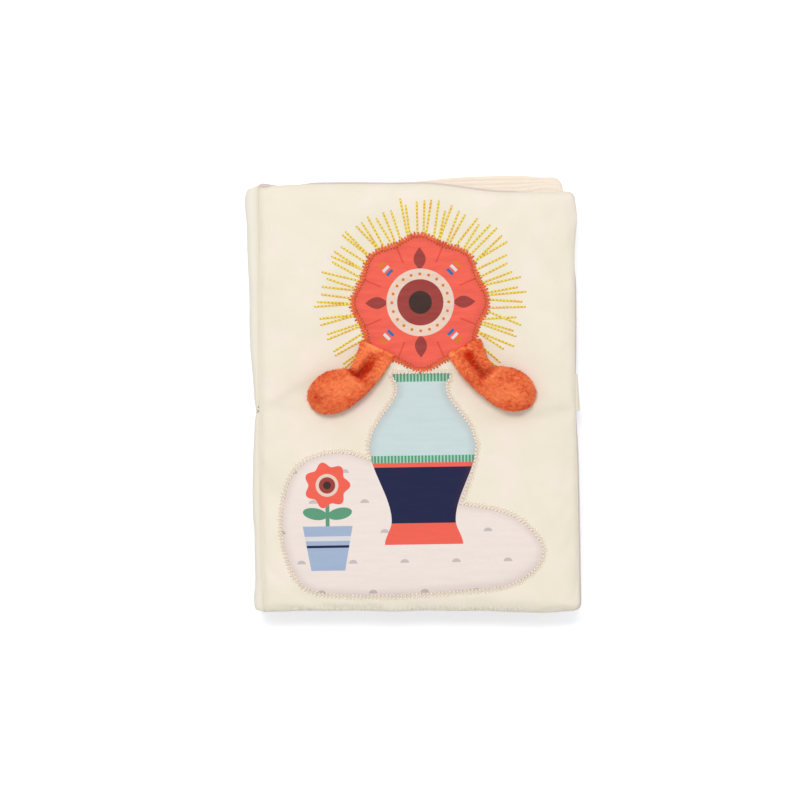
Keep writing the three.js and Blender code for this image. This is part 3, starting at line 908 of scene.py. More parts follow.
def even_section(corners):
    """A closed section with points at about even steps along its sides, in millimetres."""
    section = []
    for start, end in zip(corners, corners[1:] + corners[:1]):
        start, end = np.array(start, float), np.array(end, float)
        count = max(1, round(np.linalg.norm(end - start) / SECTION_STEP))
        section += [start + (end - start) * share / count for share in range(count)]
    return np.array(section)


def shoulder_corners(top):
    """The rounded shoulder beside the front cover: over the top and down into the crease."""
    centre = np.array([SPINE_X + SHOULDER_RADIUS, top - SHOULDER_RADIUS])
    arc = [
        tuple(centre + SHOULDER_RADIUS * np.array([-math.cos(angle), math.sin(angle)]))
        for angle in np.linspace(0, math.pi / 2, 9)
    ]
    return arc + [(CREASE_X + x, top - down) for x, down in CREASE_STEPS]


SPINE_LOW, SPINE_HIGH = box_mm("spine_strip_front")
SPINE_X = SPINE_LOW[0]
CREASE_X = SPINE_HIGH[0]
SHOULDER_RADIUS = 5.0
CREASE_STEPS = ((-0.3, 0.15), (0.5, 0.55), (1.2, 1.5))
SECTION_STEP = 0.7
STRIP_INNER_X = box_mm("spine_strip_2")[1][0]
strip_middles = [
    sum(box_mm(f"spine_strip_{number}"))[2] / 2 for number in (4, 3, 2, 1)
]
hinge_heights = {
    joint["name"]: joint["pos_m"][2] / MM for joint in frame["joints"] if "pos_m" in joint
}
print("hinge heights", hinge_heights)

# %% Five spine pieces, each round one hinge
SPINE_REACH = 119.3
LEAF_SPINE_REACH = 116.4
BEND_HALF = 1.8
TOP_ROUND, FOOT_ROUND = 5.8, 4.5
TOP_SLOPE, FOOT_SLOPE = 1.7, 0.5
FOOT_DROP = 1.1
bodies_up = ["back_cover", "leaf_4", "leaf_3", "leaf_2", "leaf_1", "front_cover"]
hinges_up = [hinge_heights[f"{body}_hinge"] for body in bodies_up[1:]]
ends_up = [0.0, *strip_middles, FRONT_HIGH[2]]
replaced_up = [f"spine_strip_{part}" for part in ("back", 4, 3, 2, 1, "front")]


def spine_section(number):
    """The closed outline of a spine piece: a plain wall, or a wall with a shoulder."""
    low, high = ends_up[number], ends_up[number + 1]
    if 0 < number < 4:
        return even_section([
            (SPINE_X, low), (STRIP_INNER_X, low), (STRIP_INNER_X, high), (SPINE_X, high),
        ])
    if number == 4:
        under = SPINE_LOW[2]
        return even_section([
            (SPINE_X, low), *shoulder_corners(high), (CREASE_X, under),
            (STRIP_INNER_X, under), (STRIP_INNER_X, low),
        ][::-1])
    over = FRONT_HIGH[2] - SPINE_LOW[2]
    flipped = [(x, FRONT_HIGH[2] - z) for x, z in shoulder_corners(FRONT_HIGH[2])]
    return even_section([
        (SPINE_X, high), *flipped, (CREASE_X, over), (STRIP_INNER_X, over), (STRIP_INNER_X, high),
    ])


# The spine's pressed_and_shade colour is painted shade towards the crease beside the front cover
spine_velour = velour("spine_velour", colour(247, 242, 229), colour(238, 232, 217),
                      pressed_and_shade=colour(236, 226, 208))
for number, hinge in enumerate(hinges_up):
    below, above = bodies_up[number:number + 2]
    shouldered = number in (0, 4)
    reach = SPINE_REACH if shouldered else LEAF_SPINE_REACH
    along = crowded_rows(-reach, reach, (0, 0.4, 1.2, 2.4), 2.6)
    band = rolled(f"spine_cloth_{number + 1}", spine_section(number), along)
    points = points_of(band) / MM
    outward = smoothstep(-points[:, 0], -CREASE_X, -SPINE_X)
    rounding = np.where(points[:, 1] > 0, TOP_ROUND, FOOT_ROUND)
    slope = np.where(points[:, 1] > 0, TOP_SLOPE, -FOOT_SLOPE)
    ending = 1 - quarter_round(reach - abs(points[:, 1]), rounding)
    waist, tie = spine_waist(points[:, 1]), spine_tie(points[:, 1])
    channel = 0.35 * np.exp(-((points[:, 2] - hinge) / 0.7) ** 2)
    wander = smooth_noise(points * [0, 1, 0.3], 26, 21, 0.6)
    corner = 0.55 * rounding * ending if shouldered else 0
    points[:, 0] += outward * (waist + tie + channel + corner + wander)
    points[:, 1] -= outward * ending * slope + FOOT_DROP * smoothstep(-points[:, 1], 95, reach)
    top = smoothstep(points[:, 2], FRONT_HIGH[2] - 4, FRONT_HIGH[2] - 1)
    sunk = 1.2 * ending + 0.2 * waist + 0.9 * tie
    points[:, 2] += top * (smooth_noise(points, 12, 24, 0.35) - sunk)
    # Painted shade: darker towards the crease beside the front cover
    mark(band, "pressed_and_shade", smoothstep(points[:, 0], SPINE_X + 2.5, CREASE_X + 1))
    if number == 4:
        points[:, 0] -= top * crease_lean(points)
    move_points(band, points * MM)
    apply_modifier(band, "SUBSURF", levels=1, render_levels=1)
    finish_piece(band, band.name, spine_velour.material, None, "cover_velour")
    (hinge - BEND_HALF) * MM
    (hinge + BEND_HALF) * MM
    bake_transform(band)
    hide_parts(replaced_up[number], replaced_up[number + 1])

# %% [markdown]
# ## The closing strap
#
# A short velour tab is caught in the front cover's fore-edge seam. It folds down over the fore
# edge to the back cover, where hooks on the tab meet loops on the cover. The cloth turns over
# the edge just below the seam, and a line of stitches holds its turned edge.

# %% The strap's cloth
STRAP_LOW, STRAP_HIGH = box_mm("closing_strap")
STRAP_MIDDLE = (STRAP_LOW + STRAP_HIGH) / 2
SEAM_HEIGHT = STRAP_HIGH[2]
TUCK_LENGTH = 5.0
STRAP_TURN = 1.6
STRAP_END_RADIUS = 5.0
STRAP_DROP = 1.2
strap_half_width = (STRAP_HIGH[1] - STRAP_LOW[1]) / 2
strap_hang = SEAM_HEIGHT - STRAP_LOW[2]
strap_line = STRAP_MIDDLE[0]


def strap_route(run):
    """Middle line of the strap from inside the seam, over the edge and down: x, z and heading."""
    arc = STRAP_TURN * math.pi / 2
    flat = np.clip(run, None, TUCK_LENGTH)
    turn = np.clip(run - TUCK_LENGTH, 0, arc) / STRAP_TURN
    drop = np.clip(run - TUCK_LENGTH - arc, 0, None)
    x = strap_line - STRAP_TURN - TUCK_LENGTH + flat + STRAP_TURN * np.sin(turn)
    z = SEAM_HEIGHT - STRAP_TURN * (1 - np.cos(turn)) - drop
    return x, z, turn


strap_length = TUCK_LENGTH + STRAP_TURN * (math.pi / 2 - 1) + strap_hang
strap_low = np.array([0.0, -strap_half_width])
strap_high = np.array([strap_length, strap_half_width])


def askew(y):
    """The strap stands off the fore edge a little more at its lower side."""
    return -0.15 - 0.55 * y / strap_half_width


def strap_shape(flat, depth, upper):
    run, y = flat.T
    x, z, turn = strap_route(run)
    thick = 0.25 + 0.68 * smoothstep(run, TUCK_LENGTH, TUCK_LENGTH + 4)
    thick *= quarter_round(depth, 0.8)
    thick *= 1 - 0.3 * np.exp(-((depth - 2.2) / 0.5) ** 2)
    push = thick if upper else -thick
    wave = smooth_noise(np.stack([run, y, 0 * y], axis=1), 9, 31, 0.12)
    push = push + wave * (run > TUCK_LENGTH)
    x = x + (push + askew(y)) * np.sin(turn)
    return np.stack([x, y + STRAP_MIDDLE[1] - STRAP_DROP, z + push * np.cos(turn)], axis=1)


strap = sewn_pad(
    "closing_strap_cloth", strap_low, strap_high, (0.8, STRAP_END_RADIUS),
    (0, 0.2, 0.5, 0.9, 1.4, 1.9, 2.4, 3.0), 0.8, strap_shape,
)
finish_piece(strap, "closing_strap_cloth", strap_cloth.material, None, "strap_cloth")
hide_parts("closing_strap")

# %% [markdown]
# ## Finding the surface below a point
#
# Patches and stitches lie on the padded cover, so their height comes from the finished pad: a
# ray is sent down at each place, and where it meets the cloth is the height.

# %% Surface heights by ray
def surface(*pieces):
    """A function of x, y in millimetres that gives the highest of the pieces there."""
    trees = []
    for piece in pieces:
        faces = [tuple(face.vertices) for face in piece.data.polygons]
        trees.append(BVHTree.FromPolygons([tuple(point) for point in points_of(piece)], faces))

    def height(x, y):
        above, down = Vector((x * MM, y * MM, 0.1)), Vector((0, 0, -1))
        hits = [tree.ray_cast(above, down)[0] for tree in trees]
        return max((hit.z / MM for hit in hits if hit), default=0.0)
    return height


cover_height = surface(front_pad)
print("cover height in the middle", round(cover_height(4, 52), 2), "mm")

# %% [markdown]
# ## The sewn patches
#
# Two printed cloths are sewn to the cover: a round flower, and below it a vase with the ground
# it stands on. Each is cut to its outline, divided into a fine grid and laid on the pad. A
# little wadding lifts the flower's middle, and the stitching pulls the edge down.

# %% Cutting cloth to an outline
def cut_cloth(name, outline, step):
    """A flat cloth with this outline, in millimetres, divided into a grid of the given step."""
    select_only(None)
    bpy.ops.mesh.primitive_circle_add(vertices=len(outline), radius=1, fill_type="NGON")
    cloth = bpy.context.object
    cloth.name = name
    turned = points_of(cloth)
    order = np.argsort(np.mod(np.arctan2(turned[:, 1], turned[:, 0]), 2 * math.pi))
    placed = np.zeros((len(outline), 3))
    placed[order, :2] = outline
    move_points(cloth, placed * MM)
    low, high = outline.min(axis=0), outline.max(axis=0)
    bpy.ops.object.mode_set(mode="EDIT")
    for axis in (0, 1):
        normal = (1, 0, 0) if axis == 0 else (0, 1, 0)
        for place in np.arange(low[axis] + step / 2, high[axis], step):
            bpy.ops.mesh.select_all(action="SELECT")
            bpy.ops.mesh.bisect(plane_co=tuple(np.array(normal) * place * MM), plane_no=normal)
    bpy.ops.object.mode_set(mode="OBJECT")
    return cloth


def edge_depth(points, outline):
    """How far each point lies inside a closed outline, in millimetres."""
    start = outline
    side = np.roll(outline, -1, axis=0) - start
    depth = np.empty(len(points))
    for index, point in enumerate(points):
        share = np.clip(((point - start) * side).sum(axis=1) / (side * side).sum(axis=1), 0, 1)
        depth[index] = np.hypot(*(point - start - share[:, None] * side).T).min()
    return depth


PUCKER, PUCKER_REACH, SOFT_WAVES = (3.2, 0, 0.35), 3.5, (17, 1, 0.3)
PATCH_GAP, PATCH_THICKNESS, HEM_WIDTH = 0.3, 0.45, 2.6


def lay_patch(cloth, outline, lift, wrinkles, seed):
    """Lays the cut cloth on the cover, puffed by lift inside its sewn edge and wrinkled."""
    points = points_of(cloth) / MM
    depth = edge_depth(points[:, :2], outline)
    ground = np.array([cover_height(x, y) for x, y, _ in points])
    pucker = waves(points, seed, *PUCKER) * np.exp(-depth / PUCKER_REACH)
    soft = waves(points, seed, *SOFT_WAVES) * smoothstep(depth, 1, 8)
    wrinkle = smooth_noise(points * [0.35, 1.5, 1], 6.5, seed + 2, wrinkles)
    wrinkle *= smoothstep(depth, 1.5, 6)
    puff = lift * (0.65 * smoothstep(depth, 0.6, 3.4) + 0.35 * smoothstep(depth, 2, 11))
    points[:, 2] = ground + PATCH_GAP + puff + pucker + soft + wrinkle
    move_points(cloth, points * MM)
    # The hem attribute carries the painted shade along the sewn edge, where the puff slopes down
    mark(cloth, "hem", hill(depth, 0, HEM_WIDTH))
    apply_modifier(cloth, "SOLIDIFY", thickness=PATCH_THICKNESS * MM, offset=1)


FLOWER_RADIUS = 36.0
LOBES = 8
LOBE_DEPTH = 1.5
flower_turn = np.linspace(0, 2 * math.pi, 192, endpoint=False)
flower_radius = FLOWER_RADIUS + LOBE_DEPTH * np.cos(LOBES * flower_turn)
flower_outline = FLOWER_CENTRE + (
    flower_radius * np.array([np.cos(flower_turn), np.sin(flower_turn)])
).T
flower = cut_cloth("flower_patch_cloth", flower_outline, 1.6)
lay_patch(flower, flower_outline, 0.9, 0.36, 41)

# %% The printed patch's outline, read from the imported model
def top_outline(node):
    """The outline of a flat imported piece's upper face, in millimetres, in order."""
    copy = frame["nodes"][node].copy()
    copy.data = copy.data.copy()
    bpy.context.collection.objects.link(copy)
    copy.parent = None
    copy.hide_viewport = False
    weld(copy, 0.001)
    edges = {}
    for face in copy.data.polygons:
        if face.normal.z > 0.9:
            corners = list(face.vertices)
            edges.update(dict.fromkeys(zip(corners, corners[1:] + corners[:1])))
    border = {start: end for start, end in edges if (end, start) not in edges}
    loop = [next(iter(border))]
    while border[loop[-1]] != loop[0]:
        loop.append(border[loop[-1]])
    outline = points_of(copy)[loop, :2] / MM
    bpy.data.objects.remove(copy)
    return outline


def even_path(path, step, closed):
    """The path with points at even steps."""
    if closed:
        path = np.vstack([path, path[:1]])
    run = np.concatenate([[0], np.cumsum(np.hypot(*np.diff(path, axis=0).T))])
    count = max(2, round(run[-1] / step))
    places = np.linspace(0, run[-1], count, endpoint=not closed)
    return np.stack([np.interp(places, run, path[:, axis]) for axis in (0, 1)], axis=1)


patch_outline = even_path(top_outline("printed_patch"), 1.2, closed=True)
print("the printed patch's outline has", len(patch_outline), "points")
printed = cut_cloth("printed_patch_cloth", patch_outline, 1.7)
lay_patch(printed, patch_outline, 1.5, 0.2, 47)

# %% [markdown]
# ## The prints
#
# A print is part of the cloth's colour. Each shape is a mask, a sum on the place that is 1
# inside and 0 outside, and the colours are laid over each other through their masks, as inks
# are.

# %% Masks, and the cloth under the prints
def blended(value, start, end, at_start, at_end, kind="SMOOTHSTEP"):
    """Goes from one number to another as value goes from start to end."""
    return value.finish.node(
        "ShaderNodeMapRange", {"interpolation_type": kind}, value, start, end, at_start, at_end
    )


def inside(value, limit, soft=0.12):
    """1 where value is under the limit, with a soft border."""
    return blended(value, limit + soft, limit - soft, 0.0, 1.0)


def millimetres(finish, centre_x=0.0, centre_y=0.0):
    x, y, _ = finish.place()
    return x * (1 / MM) - centre_x, y * (1 / MM) - centre_y


def length(x, y):
    return (x * x + y * y).math("SQRT")


def repeated(value, period):
    """Goes from -period / 2 to period / 2 again and again."""
    return ((value / period + 0.5).math("FRACT") - 0.5) * period


def print_cloth(finish, ink, wrinkles):
    """Worn soft ink on plain woven cloth, with fine wrinkles, painted shade in their troughs and
    painted shade along the hem.
    """
    fibre = finish.noise(1700, detail=3, roughness=0.65, stretch=(0.5, 1.6, 1))
    wrinkle = finish.noise(190, detail=3, roughness=0.6, stretch=(0.3, 1.7, 1))
    # Lighter and darker with the fibres, and darker in the wrinkles' troughs: painted shade, with a
    # faint painted highlight on their crests
    grain_and_wrinkle_shade = finish.clamp((fibre - 0.5) * 0.8 + (wrinkle - 0.5) * 2.2 * wrinkles + 0.5)
    faded_and_crest_lit = finish.mix(grain_and_wrinkle_shade * 0.012, ink, (1.0, 0.85, 0.75, 1))
    shaded = finish.mix((1 - grain_and_wrinkle_shade) * 0.14, faded_and_crest_lit, (0.05, 0.02, 0.03, 1))
    # Painted shade along the hem
    hem = finish.attribute("hem")
    finish.feed("Base Color", finish.mix(hem * 0.16, shaded, HEM_SHADE))
    finish.bump(fibre * 0.15 + wrinkle * wrinkles, 0.5 * MM, 0.8)


CORAL, DEEP_CORAL, MAROON = colour(250, 104, 86), colour(232, 84, 68), colour(162, 68, 62)
DARK_BROWN, CREAM_PINK = colour(66, 48, 44), colour(240, 214, 196)
ORANGE, INK_BLUE, NAVY = colour(226, 128, 40), colour(52, 116, 178), colour(28, 36, 74)
SOFT_WHITE, HEM_SHADE = colour(228, 226, 228), colour(126, 80, 60)

# %% The flower's print
flower_print = Finish("flower_print", roughness=0.85, sheen_weight=0.04, specular_ior_level=0.12)
dx, dy = millimetres(flower_print, *FLOWER_CENTRE)
radius = length(dx, dy)
turn = dy.math("ARCTAN2", dx)
petal_arc = repeated(turn, math.tau / LOBES) * radius
gap_arc = repeated(turn + math.pi / LOBES, math.tau / LOBES) * radius
almond = 3.4 * (flower_print.clamp((radius - 18) / 13) * math.pi).math("SINE")
even_petal = inside(abs(repeated(turn, 2 * math.tau / LOBES)), math.pi / LOBES, 0.01)
dash_side = inside(abs(petal_arc), 2.3) * (1 - even_petal)
dots = inside(length(repeated(turn, math.tau / 20) * radius, radius - 16.0), 0.85)
ink = flower_print.lay(
    CORAL,
    (inside(abs(gap_arc), 0.5) * inside(24 - radius, 0), DEEP_CORAL),
    (inside(abs(petal_arc) - almond, 0) * even_petal, MAROON),
    *((inside(abs(radius - dash_radius), 0.85) * dash_side, dash_ink)
      for dash_radius, dash_ink in ((24.0, INK_BLUE), (27.0, SOFT_WHITE), (30.0, ORANGE))),
    (inside(radius, 19.0), CREAM_PINK), (dots, ORANGE),
    (inside(radius, 13.0), MAROON), (inside(radius, 6.5), DARK_BROWN),
)
print_cloth(flower_print, ink, 1.1)
finish_piece(flower, "flower_patch_cloth", flower_print.material, "front_cover", "flower_print",
             "flower_patch", angle=50)

# %% The ground, the vase and the small pot
VASE_X, VASE_FOOT = 4.0, -84.0
POT_X, POT_TOP, POT_FOOT = -50.0, -73.0, -98.0
ROW_START, ROW_STEP, MARK_STEP, MARK_SHIFT, MARK_RADIUS = -60.0, 17.0, 29.0, 11.0, 2.4
STRIPE_PERIOD = 1.9
GROUND = colour(248, 235, 228)
LEAF_GREEN = colour(96, 162, 128)
patch_print = Finish("patch_print", roughness=0.85, sheen_weight=0.04, specular_ior_level=0.12)
px, py = millimetres(patch_print)

# Small half-round marks in rows
row_y = repeated(py - ROW_START, ROW_STEP)
row_number = ((py - ROW_START) / ROW_STEP).math("ROUND")
mark_x = repeated(px + row_number * MARK_SHIFT, MARK_STEP)
marks = inside(length(mark_x, row_y * 1.25), MARK_RADIUS) * inside(0 - row_y, 0.2)

# The vase widens upwards from its waist, and its foot flares
lower = blended(py, -70.6, -28.3, 18.0, 30.0)
foot = blended(py, VASE_FOOT, -70.6, 4.0, 0.0)
vase_half = lower + foot + inside(0 - py, 31.0) * 40.0
vase = inside(abs(px - VASE_X) - vase_half, 0) * inside(VASE_FOOT - py, 0)
stripe = inside(abs(repeated(px, STRIPE_PERIOD)), 0.55)
rib = patch_print.mix(stripe, colour(172, 222, 198), colour(86, 158, 124))
BANDS = (
    (7.5, colour(209, 227, 227)), (-34.0, rib), (-38.0, CORAL), (-40.5, NAVY), (-72.0, CORAL),
)
vase_ink = patch_print.lay(rib, *((inside(py, top), band_ink) for top, band_ink in BANDS))

# A pot with a small flower stands beside the vase
pot_half = blended(py, POT_FOOT, POT_TOP, 9.5, 14.0, "LINEAR")
pot = inside(abs(px - POT_X) - pot_half, 0) * inside(py, POT_TOP) * inside(0 - py, -POT_FOOT)
stem = inside(abs(px - POT_X), 1.1) * inside(abs(py + 64), 10.0)
leaf_y = py + 66
green_leaves = [
    inside(length((px - (POT_X + side * 7)) * 0.8 - leaf_y * (side * 0.45), leaf_y * 1.5), 5.2)
    for side in (-1, 1)
]
sx, sy = px - POT_X, py + 50
small_radius = length(sx, sy)
small_edge = 11.8 + 1.3 * (sy.math("ARCTAN2", sx) * 7).math("COSINE")
ink = patch_print.lay(
    GROUND, (marks, colour(207, 198, 194)), (vase, vase_ink),
    (stem, LEAF_GREEN), *((leaf, LEAF_GREEN) for leaf in green_leaves),
    (pot, colour(169, 187, 216)), (pot * inside(abs(py + 80), 1.3), SOFT_WHITE),
    (pot * inside(abs(py + 84.5), 0.7), NAVY), (inside(small_radius - small_edge, 0), CORAL),
    (inside(small_radius, 6.4), CREAM_PINK), (inside(small_radius, 4.6), MAROON),
    (inside(small_radius, 2.2), DARK_BROWN),
)
print_cloth(patch_print, ink, 0.35)
finish_piece(printed, "printed_patch_cloth", patch_print.material, "front_cover", "patch_print",
             "printed_patch", angle=50)

# %% [markdown]
# ## Stitches
#
# A stitch is a short length of thread that dips into the cloth at both ends. One grain-shaped
# stitch is modelled and copied along the seams: in a zigzag over the patches' edges, in a row on
# each side of the printed patch's edge, end to end in the yellow rays round the flower, and as
# short tacks where the front cover's foot is gathered.

# %% One stitch, and seams of copies
select_only(None)
bpy.ops.mesh.primitive_uv_sphere_add(
    segments=6, ring_count=6, radius=1, rotation=(0, math.pi / 2, 0)
)
stitch_model = bpy.context.object
bpy.ops.object.transform_apply(location=False, rotation=True, scale=False)
stitch_points = points_of(stitch_model)
stitch_faces = [tuple(face.vertices) for face in stitch_model.data.polygons]
bpy.data.objects.remove(stitch_model)


# A stitch steeper than this keeps its outer side towards +x instead of up
STEEP = 0.9
# The grain is fattened towards its ends, so that it is more like a cylinder
END_FATNESS, THINNEST = 0.175, 0.01


def sew(name, stitches, thickness, lift, finish, slot="cover_velour", body="front_cover"):
    """A seam: one copy of the stitch from each start to its end, all in one piece."""
    starts, ends = np.array(stitches).transpose(1, 0, 2)
    middle = (starts + ends) / 2
    half = (ends - starts) / 2
    reach = np.linalg.norm(half, axis=1, keepdims=True)
    ahead = half / reach
    outward = np.where(abs(ahead[:, 2:]) > STEEP, [1.0, 0, 0], [0, 0, 1.0])
    aside = np.cross(outward, ahead)
    aside /= np.linalg.norm(aside, axis=1, keepdims=True)
    up = np.cross(ahead, aside)
    along, across, rise = stitch_points.T
    bulge = np.clip(1 - along ** 2, THINNEST, 1) ** -END_FATNESS
    copies = (
        middle[:, None]
        + along[None, :, None] * (half + ahead * thickness * 0.3)[:, None]
        + (across * bulge * thickness / 2)[None, :, None] * aside[:, None]
        + (rise * bulge * thickness / 2 + lift * (1 - along ** 2))[None, :, None] * up[:, None]
    )
    count = len(stitch_points)
    faces = [
        tuple(corner + count * number for corner in face)
        for number in range(len(starts)) for face in stitch_faces
    ]
    seam = new_piece(name, copies.reshape(-1, 3), faces)
    # thread_end is 1 at both ends of a stitch, where the thread's finish paints shade
    mark(seam, "thread_end", np.tile(abs(along) ** 3, len(starts)))
    finish_piece(seam, name, finish.material, body, slot)
    return seam


def thread(name, tone, end_shade, other=None):
    """Glossy twisted thread with painted shade at its ends, where it goes into the cloth, perhaps
    with a second tone.
    """
    finish = Finish(name, roughness=0.5, sheen_weight=0.15, specular_ior_level=0.4)
    end = finish.attribute("thread_end")
    twist = finish.noise(2200, detail=2)
    tone, end_shade = colour(*tone), colour(*end_shade)
    if other:
        patches = finish.clamp((finish.noise(160, detail=2) - 0.5) * 5)
        tone = finish.mix(patches, tone, colour(*other))
    # Painted shade where the thread dips into the cloth, mixed with its random twist
    shaded_ends = finish.clamp(end * 1.25 + (twist - 0.5) * 0.5)
    finish.feed("Base Color", finish.mix(shaded_ends, tone, end_shade))
    finish.bump(twist, 0.06 * MM)
    return finish


# Each thread's second colour is its painted shade at the stitch ends
yellow_thread = thread("yellow_thread", (255, 231, 84), (158, 96, 32), (255, 204, 84))
orange_thread = thread("orange_thread", (250, 112, 52), (124, 30, 12), (228, 78, 32))
pale_thread = thread("pale_thread", (255, 250, 236), (240, 222, 200))
rose_thread = thread("rose_thread", (255, 240, 229), (236, 208, 194))
leg_thread = thread("leg_thread", (250, 240, 224), (222, 202, 182))
tie_thread = thread("tie_thread", (150, 156, 148), (96, 100, 96))
cream_thread = thread("cream_thread", (246, 236, 216), (222, 205, 178))

chance = random.Random(12)
patch_height = surface(front_pad, flower, printed)


def on_cover(x, y, rise):
    return [x, y, patch_height(x, y) + rise]


def outward_path(outline, step):
    """Even points on a closed outline, each with the direction straight out of it."""
    path = even_path(outline, step, closed=True)
    ahead = np.roll(path, -1, axis=0) - np.roll(path, 1, axis=0)
    outward = np.stack([ahead[:, 1], -ahead[:, 0]], axis=1)
    outward /= np.hypot(*outward.T)[:, None]
    area = (path[:, 0] * np.roll(path[:, 1], -1) - np.roll(path[:, 0], -1) * path[:, 1]).sum()
    return path, outward * (1 if area > 0 else -1)


def zigzag(outline, pitch, inner, outer, spread=0.2):
    """Stitches that go to and fro across a closed outline."""
    points = []
    for number, (place, out) in enumerate(zip(*outward_path(outline, pitch / 2))):
        way = (outer if number % 2 else -inner) * chance.uniform(1 - spread, 1 + spread)
        points.append(on_cover(*(place + out * way), rise=0.1))
    return list(zip(points, points[1:] + points[:1]))


def seam_line(outline, step, outset, share):
    """A row of stitches along a closed outline, each over a share of its step."""
    path, outward = outward_path(outline, step)
    points = np.array([on_cover(*place, rise=0.0) for place in path + outward * outset])
    return list(zip(points, points + share * (np.roll(points, -1, axis=0) - points)))


PATCH_STITCH = 2.1
sew("flower_zigzag", zigzag(flower_outline, 1.8, 1.0, 2.2, 0.3), 0.8, 0.35, orange_thread,
    "flower_print")
sew("patch_zigzag", zigzag(patch_outline, PATCH_STITCH, 0.2, 2.4), 0.5, 0.3, leg_thread,
    "patch_print")
for name, outset, share, thickness, lift, finish in (
    ("patch_inner_seam", 0.35, 0.55, 1.15, 0.4, rose_thread),
    ("patch_outer_seam", 2.3, 0.45, 0.85, 0.25, pale_thread),
):
    stitches = seam_line(patch_outline, PATCH_STITCH, outset, share)
    sew(name, stitches, thickness, lift, finish, "patch_print")

# %% The yellow rays
RAY_STITCH, RAY_GAP = 2.1, 0.04
RAY_COUNT = 29
FIRST_RAY, RAYS_ROUND = -38, 256
RAY_START = 1.6
ray_stitches = []


def from_flower(radius, angle):
    return FLOWER_CENTRE + radius * np.array([math.cos(angle), math.sin(angle)])


for number in range(RAY_COUNT):
    degrees = FIRST_RAY + RAYS_ROUND * number / (RAY_COUNT - 1)
    heading = math.radians(degrees + chance.uniform(-1.6, 1.6))
    lobe = FLOWER_RADIUS + LOBE_DEPTH * math.cos(LOBES * heading)
    inner_gap = chance.choice([0.2, 0.7, 1.6, 2.2])
    outer_gap = chance.uniform(2.4, 4.6)
    crossed = chance.random() < 0.12
    for side in (-1, 1):
        inner_angle = heading + side * inner_gap / lobe
        reach = lobe + RAY_START + chance.uniform(16.5, 21.5)
        outer_angle = heading + (-side if crossed else side) * outer_gap / 2 / reach
        start, end = from_flower(lobe + RAY_START, inner_angle), from_flower(reach, outer_angle)
        count = round(np.hypot(*(end - start)) / RAY_STITCH)
        for step in range(count):
            ray_stitches.append([
                on_cover(*(start + (end - start) * (step + share) / count), rise=0.02)
                for share in (RAY_GAP, 1 - RAY_GAP)
            ])
sew("flower_rays", ray_stitches, 1.18, 0.3, yellow_thread)
print(len(ray_stitches), "ray stitches")

# %% Short stitches that gather the front cover's foot
FOOT_STITCHES_FROM, FOOT_STITCHES_TO = -70.0, 57.0
FINE_THREAD = 0.42
foot_chance = random.Random(31)
foot_stitches = []
x = FOOT_STITCHES_FROM
while x < FOOT_STITCHES_TO:
    y = bowed(np.array([[x, FRONT_LOW[1] + PAD_INSET]]), True)[0, 1] + foot_chance.uniform(0.5, 1.4)
    ends = (x, y), (x + foot_chance.uniform(-0.3, 0.3), y + foot_chance.uniform(0.8, 2.8))
    if cover_height(x, y) > FRONT_LOW[2]:
        foot_stitches.append([(*end, cover_height(*end)) for end in ends])
    x += foot_chance.uniform(1.1, 3.0)
sew("foot_gathering_stitches", foot_stitches, FINE_THREAD, 0.2, pale_thread)
print(len(foot_stitches), "stitches along the foot")

# %% Running stitches round the leaves
def running_stitches(path, height, stitch, gap):
    route = even_path(path, stitch + gap, closed=False)
    stitches = []
    for start, end in zip(route, route[1:]):
        end = end - (end - start) * gap / (stitch + gap)
        stitches.append([(*place, height(*place)) for place in (start, end)])
    return stitches


for number, leaf in leaf_pads.items():
    low, high = leaf_boxes[number]
    path = even_path(running_path(low, high, LEAF_SEAM, LEAF_RADII), 2.0, closed=False)
    path = slumped(path, low, high, number)
    sew(f"leaf_{number}_stitches", running_stitches(path, surface(leaf), 2.4, 0.8),
        FINE_THREAD, 0.12, cream_thread, "leaf_cloth", f"leaf_{number}")

# %% The thread that ties the spine: a cross over the shoulder, and stitches above it
shoulder_height = surface(bpy.data.objects[f"spine_cloth_{len(hinges_up)}"])
TIE_X = -88.0
tie_lines = [((-0.9, -1.0), (0.9, 1.0)), ((-0.9, 1.0), (0.9, -1.0)), ((-0.3, 2.0), (0.4, 3.0)),
             ((0.5, 3.6), (0.9, 4.7))]
tie_stitches = []
for line in tie_lines:
    ends = [(TIE_X + x, TIE_Y + y) for x, y in line]
    tie_stitches.append([(x, y, shoulder_height(x, y) + 0.1) for x, y in ends])
sew("spine_tie_stitches", tie_stitches, 0.45, 0.15, tie_thread)

# %% Stitches along the strap's turned edge
strap_stitches = []
hem_low, hem_high = strap_low + [TUCK_LENGTH + 3, 2.2], strap_high - 2.2
hem = [(hem_low[0], hem_low[1]), (hem_high[0] - 3, hem_low[1]), (hem_high[0], hem_low[1] + 3),
       (hem_high[0], hem_high[1] - 3), (hem_high[0] - 3, hem_high[1]), (hem_low[0], hem_high[1])]
hem_route = even_path(np.array(hem), 2.6, closed=False)
for start, end in zip(hem_route, hem_route[1:]):
    pair = []
    for run, y in (start, start + (end - start) * 0.8):
        x, z, _ = strap_route(run)
        pair.append((x + 0.78 + askew(y), y + STRAP_MIDDLE[1] - STRAP_DROP, z))
    strap_stitches.append(pair)
strap_seam = sew("closing_strap_stitches", strap_stitches, FINE_THREAD, 0.12, cream_thread,
                 "strap_cloth", None)
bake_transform(strap)
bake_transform(strap_seam)

# %% [markdown]
# ## Hooks and loops
#
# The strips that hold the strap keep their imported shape. A fine, deep bump gives one its stiff
# hooks and the other its fuzzy loops.

# %% Finishes for the two strips
hook_finish = Finish("white_hooks", roughness=0.45, specular_ior_level=0.4)
HOOK_PITCH = 0.9 * MM
hook_dots = sum(abs(repeated(way, HOOK_PITCH)) for way in hook_finish.place()[1:])
